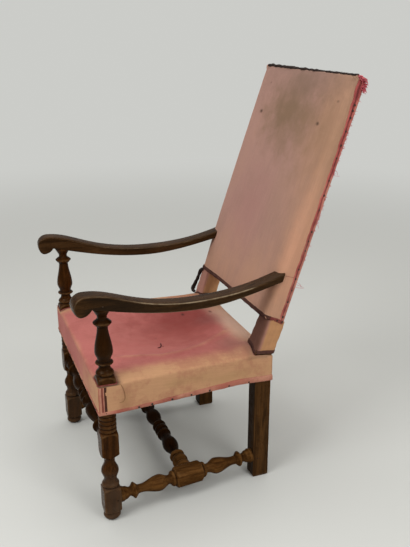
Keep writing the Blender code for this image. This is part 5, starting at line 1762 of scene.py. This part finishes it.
# a length of gimp has come away from the far sleeve and stands off it
def makeLooseGimp():
    knots = [raked(x, -0.004, along) for x, along in sleeve["loose"]]
    path = refined(knots) + knots[-1:]
    outs = []
    for i in range(len(path)):
        run = path[min(i + 4, len(path) - 1)] - path[max(i - 4, 0)]
        outs.append(run.cross(forward).normalized())
    thick = [(a * 4.3 - 0.0043, b * 1.1) for a, b in gimp["braid"]]
    braid = ribbon(path, outs, -forward, thick, plait=gimp["plait"], wobble=0.0014, swell=0.5, seed=19.0)
    addCloth("looseGimp", *braid, darkGimp, "gimp")


# under the seat

def makeUnderside():
    for name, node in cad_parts.items():
        if not name.startswith("seat_web"):
            continue
        points = [vertex.co.copy() for vertex in node.data.vertices]
        faces = [tuple(face.vertices) for face in node.data.polygons]
        web = addPiece(name.replace("seat_web", "web"), points, faces, jute, "jute", [name])
        with edited(web.data) as shaped:
            bmesh.ops.triangulate(shaped, faces=shaped.faces)
            long = [edge for edge in shaped.edges if edge.calc_length() > 0.012]
            bmesh.ops.subdivide_edges(shaped, edges=long, cuts=4, use_grid_fill=True)
            for point in shaped.verts:
                point.co.z += 0.0005 * wander(point.co, 60, 3)
    low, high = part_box("seat_hessian")
    columns, rows = 70, 60
    level = (low[2] + high[2]) / 2
    spots = []
    for row in range(rows + 1):
        y = lerp(low[1], high[1], row / rows)
        for column in range(columns + 1):
            x = (seatHalf(y) - 0.02) * (2 * column / columns - 1)
            spots.append(Vector((x, y, level + seatHem(y) - seatHem(0.0) + 0.0008 * wander((x, y, 0), 40, 2))))
    posts = [(side * x, y) for side in (1, -1) for x, y in ((frontX, frontY), (rearX, (legFront + legRear) / 2))]
    faces = []
    for face in gridFaces(columns, rows):
        middle = (spots[face[0]] + spots[face[2]]) / 2
        if all(max(abs(middle.x - x), abs(middle.y - y)) > 0.034 for x, y in posts):
            faces.append(face)
    sheet = addCloth("seatHessian", spots, faces, hessian, "hessian", ["seat_hessian"])
    with edited(sheet.data) as loose:
        bmesh.ops.delete(loose, geom=[point for point in loose.verts if not point.link_faces], context="VERTS")
    thicken(sheet, 0.0010)


makeSeatCover()
makeSeatHem()
makeSeatCorners()
print("seat covered")
makeBackCover()
makeOutsideCover()
makeEdgeStrips()
makeTopGimp()
makeBottomGimp()
makeThreads()
makeSleeves()
makeLooseGimp()
print("back covered")
makeUnderside()
print("underside webbed")


# floor and backdrop

studio = {
    "floorSize": 60,
    "floorColour": (0.53, 0.535, 0.51),
    "backdropColour": (0.60, 0.605, 0.58),
    "fadeOut": (1.9, 5.4),  # metres over which the floor becomes the backdrop
    "light": (1.0, 0.99, 0.97),
    "ambientLow": 0.17,  # at the horizon
    "ambientHigh": 0.95,  # overhead
}


def makeFloor():
    size = studio["floorSize"] / 2
    mesh = bpy.data.meshes.new("floor")
    mesh.from_pydata([(-size, -size, 0), (size, -size, 0), (size, size, 0), (-size, size, 0)], [], [(0, 1, 2, 3)])
    made, nodes, place = newMaterial("paperFloor")
    nodes.dress({"Base Color": studio["floorColour"], "Roughness": 0.9, "Specular IOR Level": 0.1})
    away = nodes.add("VectorMath", {0: place}, operation="LENGTH")["Value"]
    share = nodes.times(nodes.ranged(away, *studio["fadeOut"]), nodes.add("LightPath")["Is Camera Ray"])
    glow = nodes.add("Emission", {"Color": studio["backdropColour"], "Strength": 1.0})[0]
    paper = nodes.tree.nodes["Principled BSDF"].outputs[0]
    both = nodes.add("MixShader", {0: share, 1: paper, 2: glow})[0]
    nodes.feed(nodes.tree.nodes["Material Output"].inputs["Surface"], both)
    mesh.materials.append(made)
    placed("floor", mesh)


def makeWorld():
    scene.world = bpy.data.worlds.new("studio")
    scene.world.use_nodes = True
    nodes = Nodes(scene.world.node_tree)
    light = nodes.tree.nodes["Background"]
    nodes.feed(light.inputs["Color"], studio["light"])
    way = nodes.add("SeparateXYZ", {0: nodes.add("TexCoord")["Generated"]})["Z"]
    nodes.feed(light.inputs["Strength"], nodes.ranged(way, 0.0, 0.9, studio["ambientLow"], studio["ambientHigh"]))
    shown = nodes.add("Background", {"Color": studio["backdropColour"], "Strength": 1.0})[0]
    seen = nodes.add("LightPath")["Is Camera Ray"]
    both = nodes.add("MixShader", {0: seen, 1: light.outputs[0], 2: shown})[0]
    nodes.feed(nodes.tree.nodes["World Output"].inputs["Surface"], both)


makeWorld()
makeFloor()
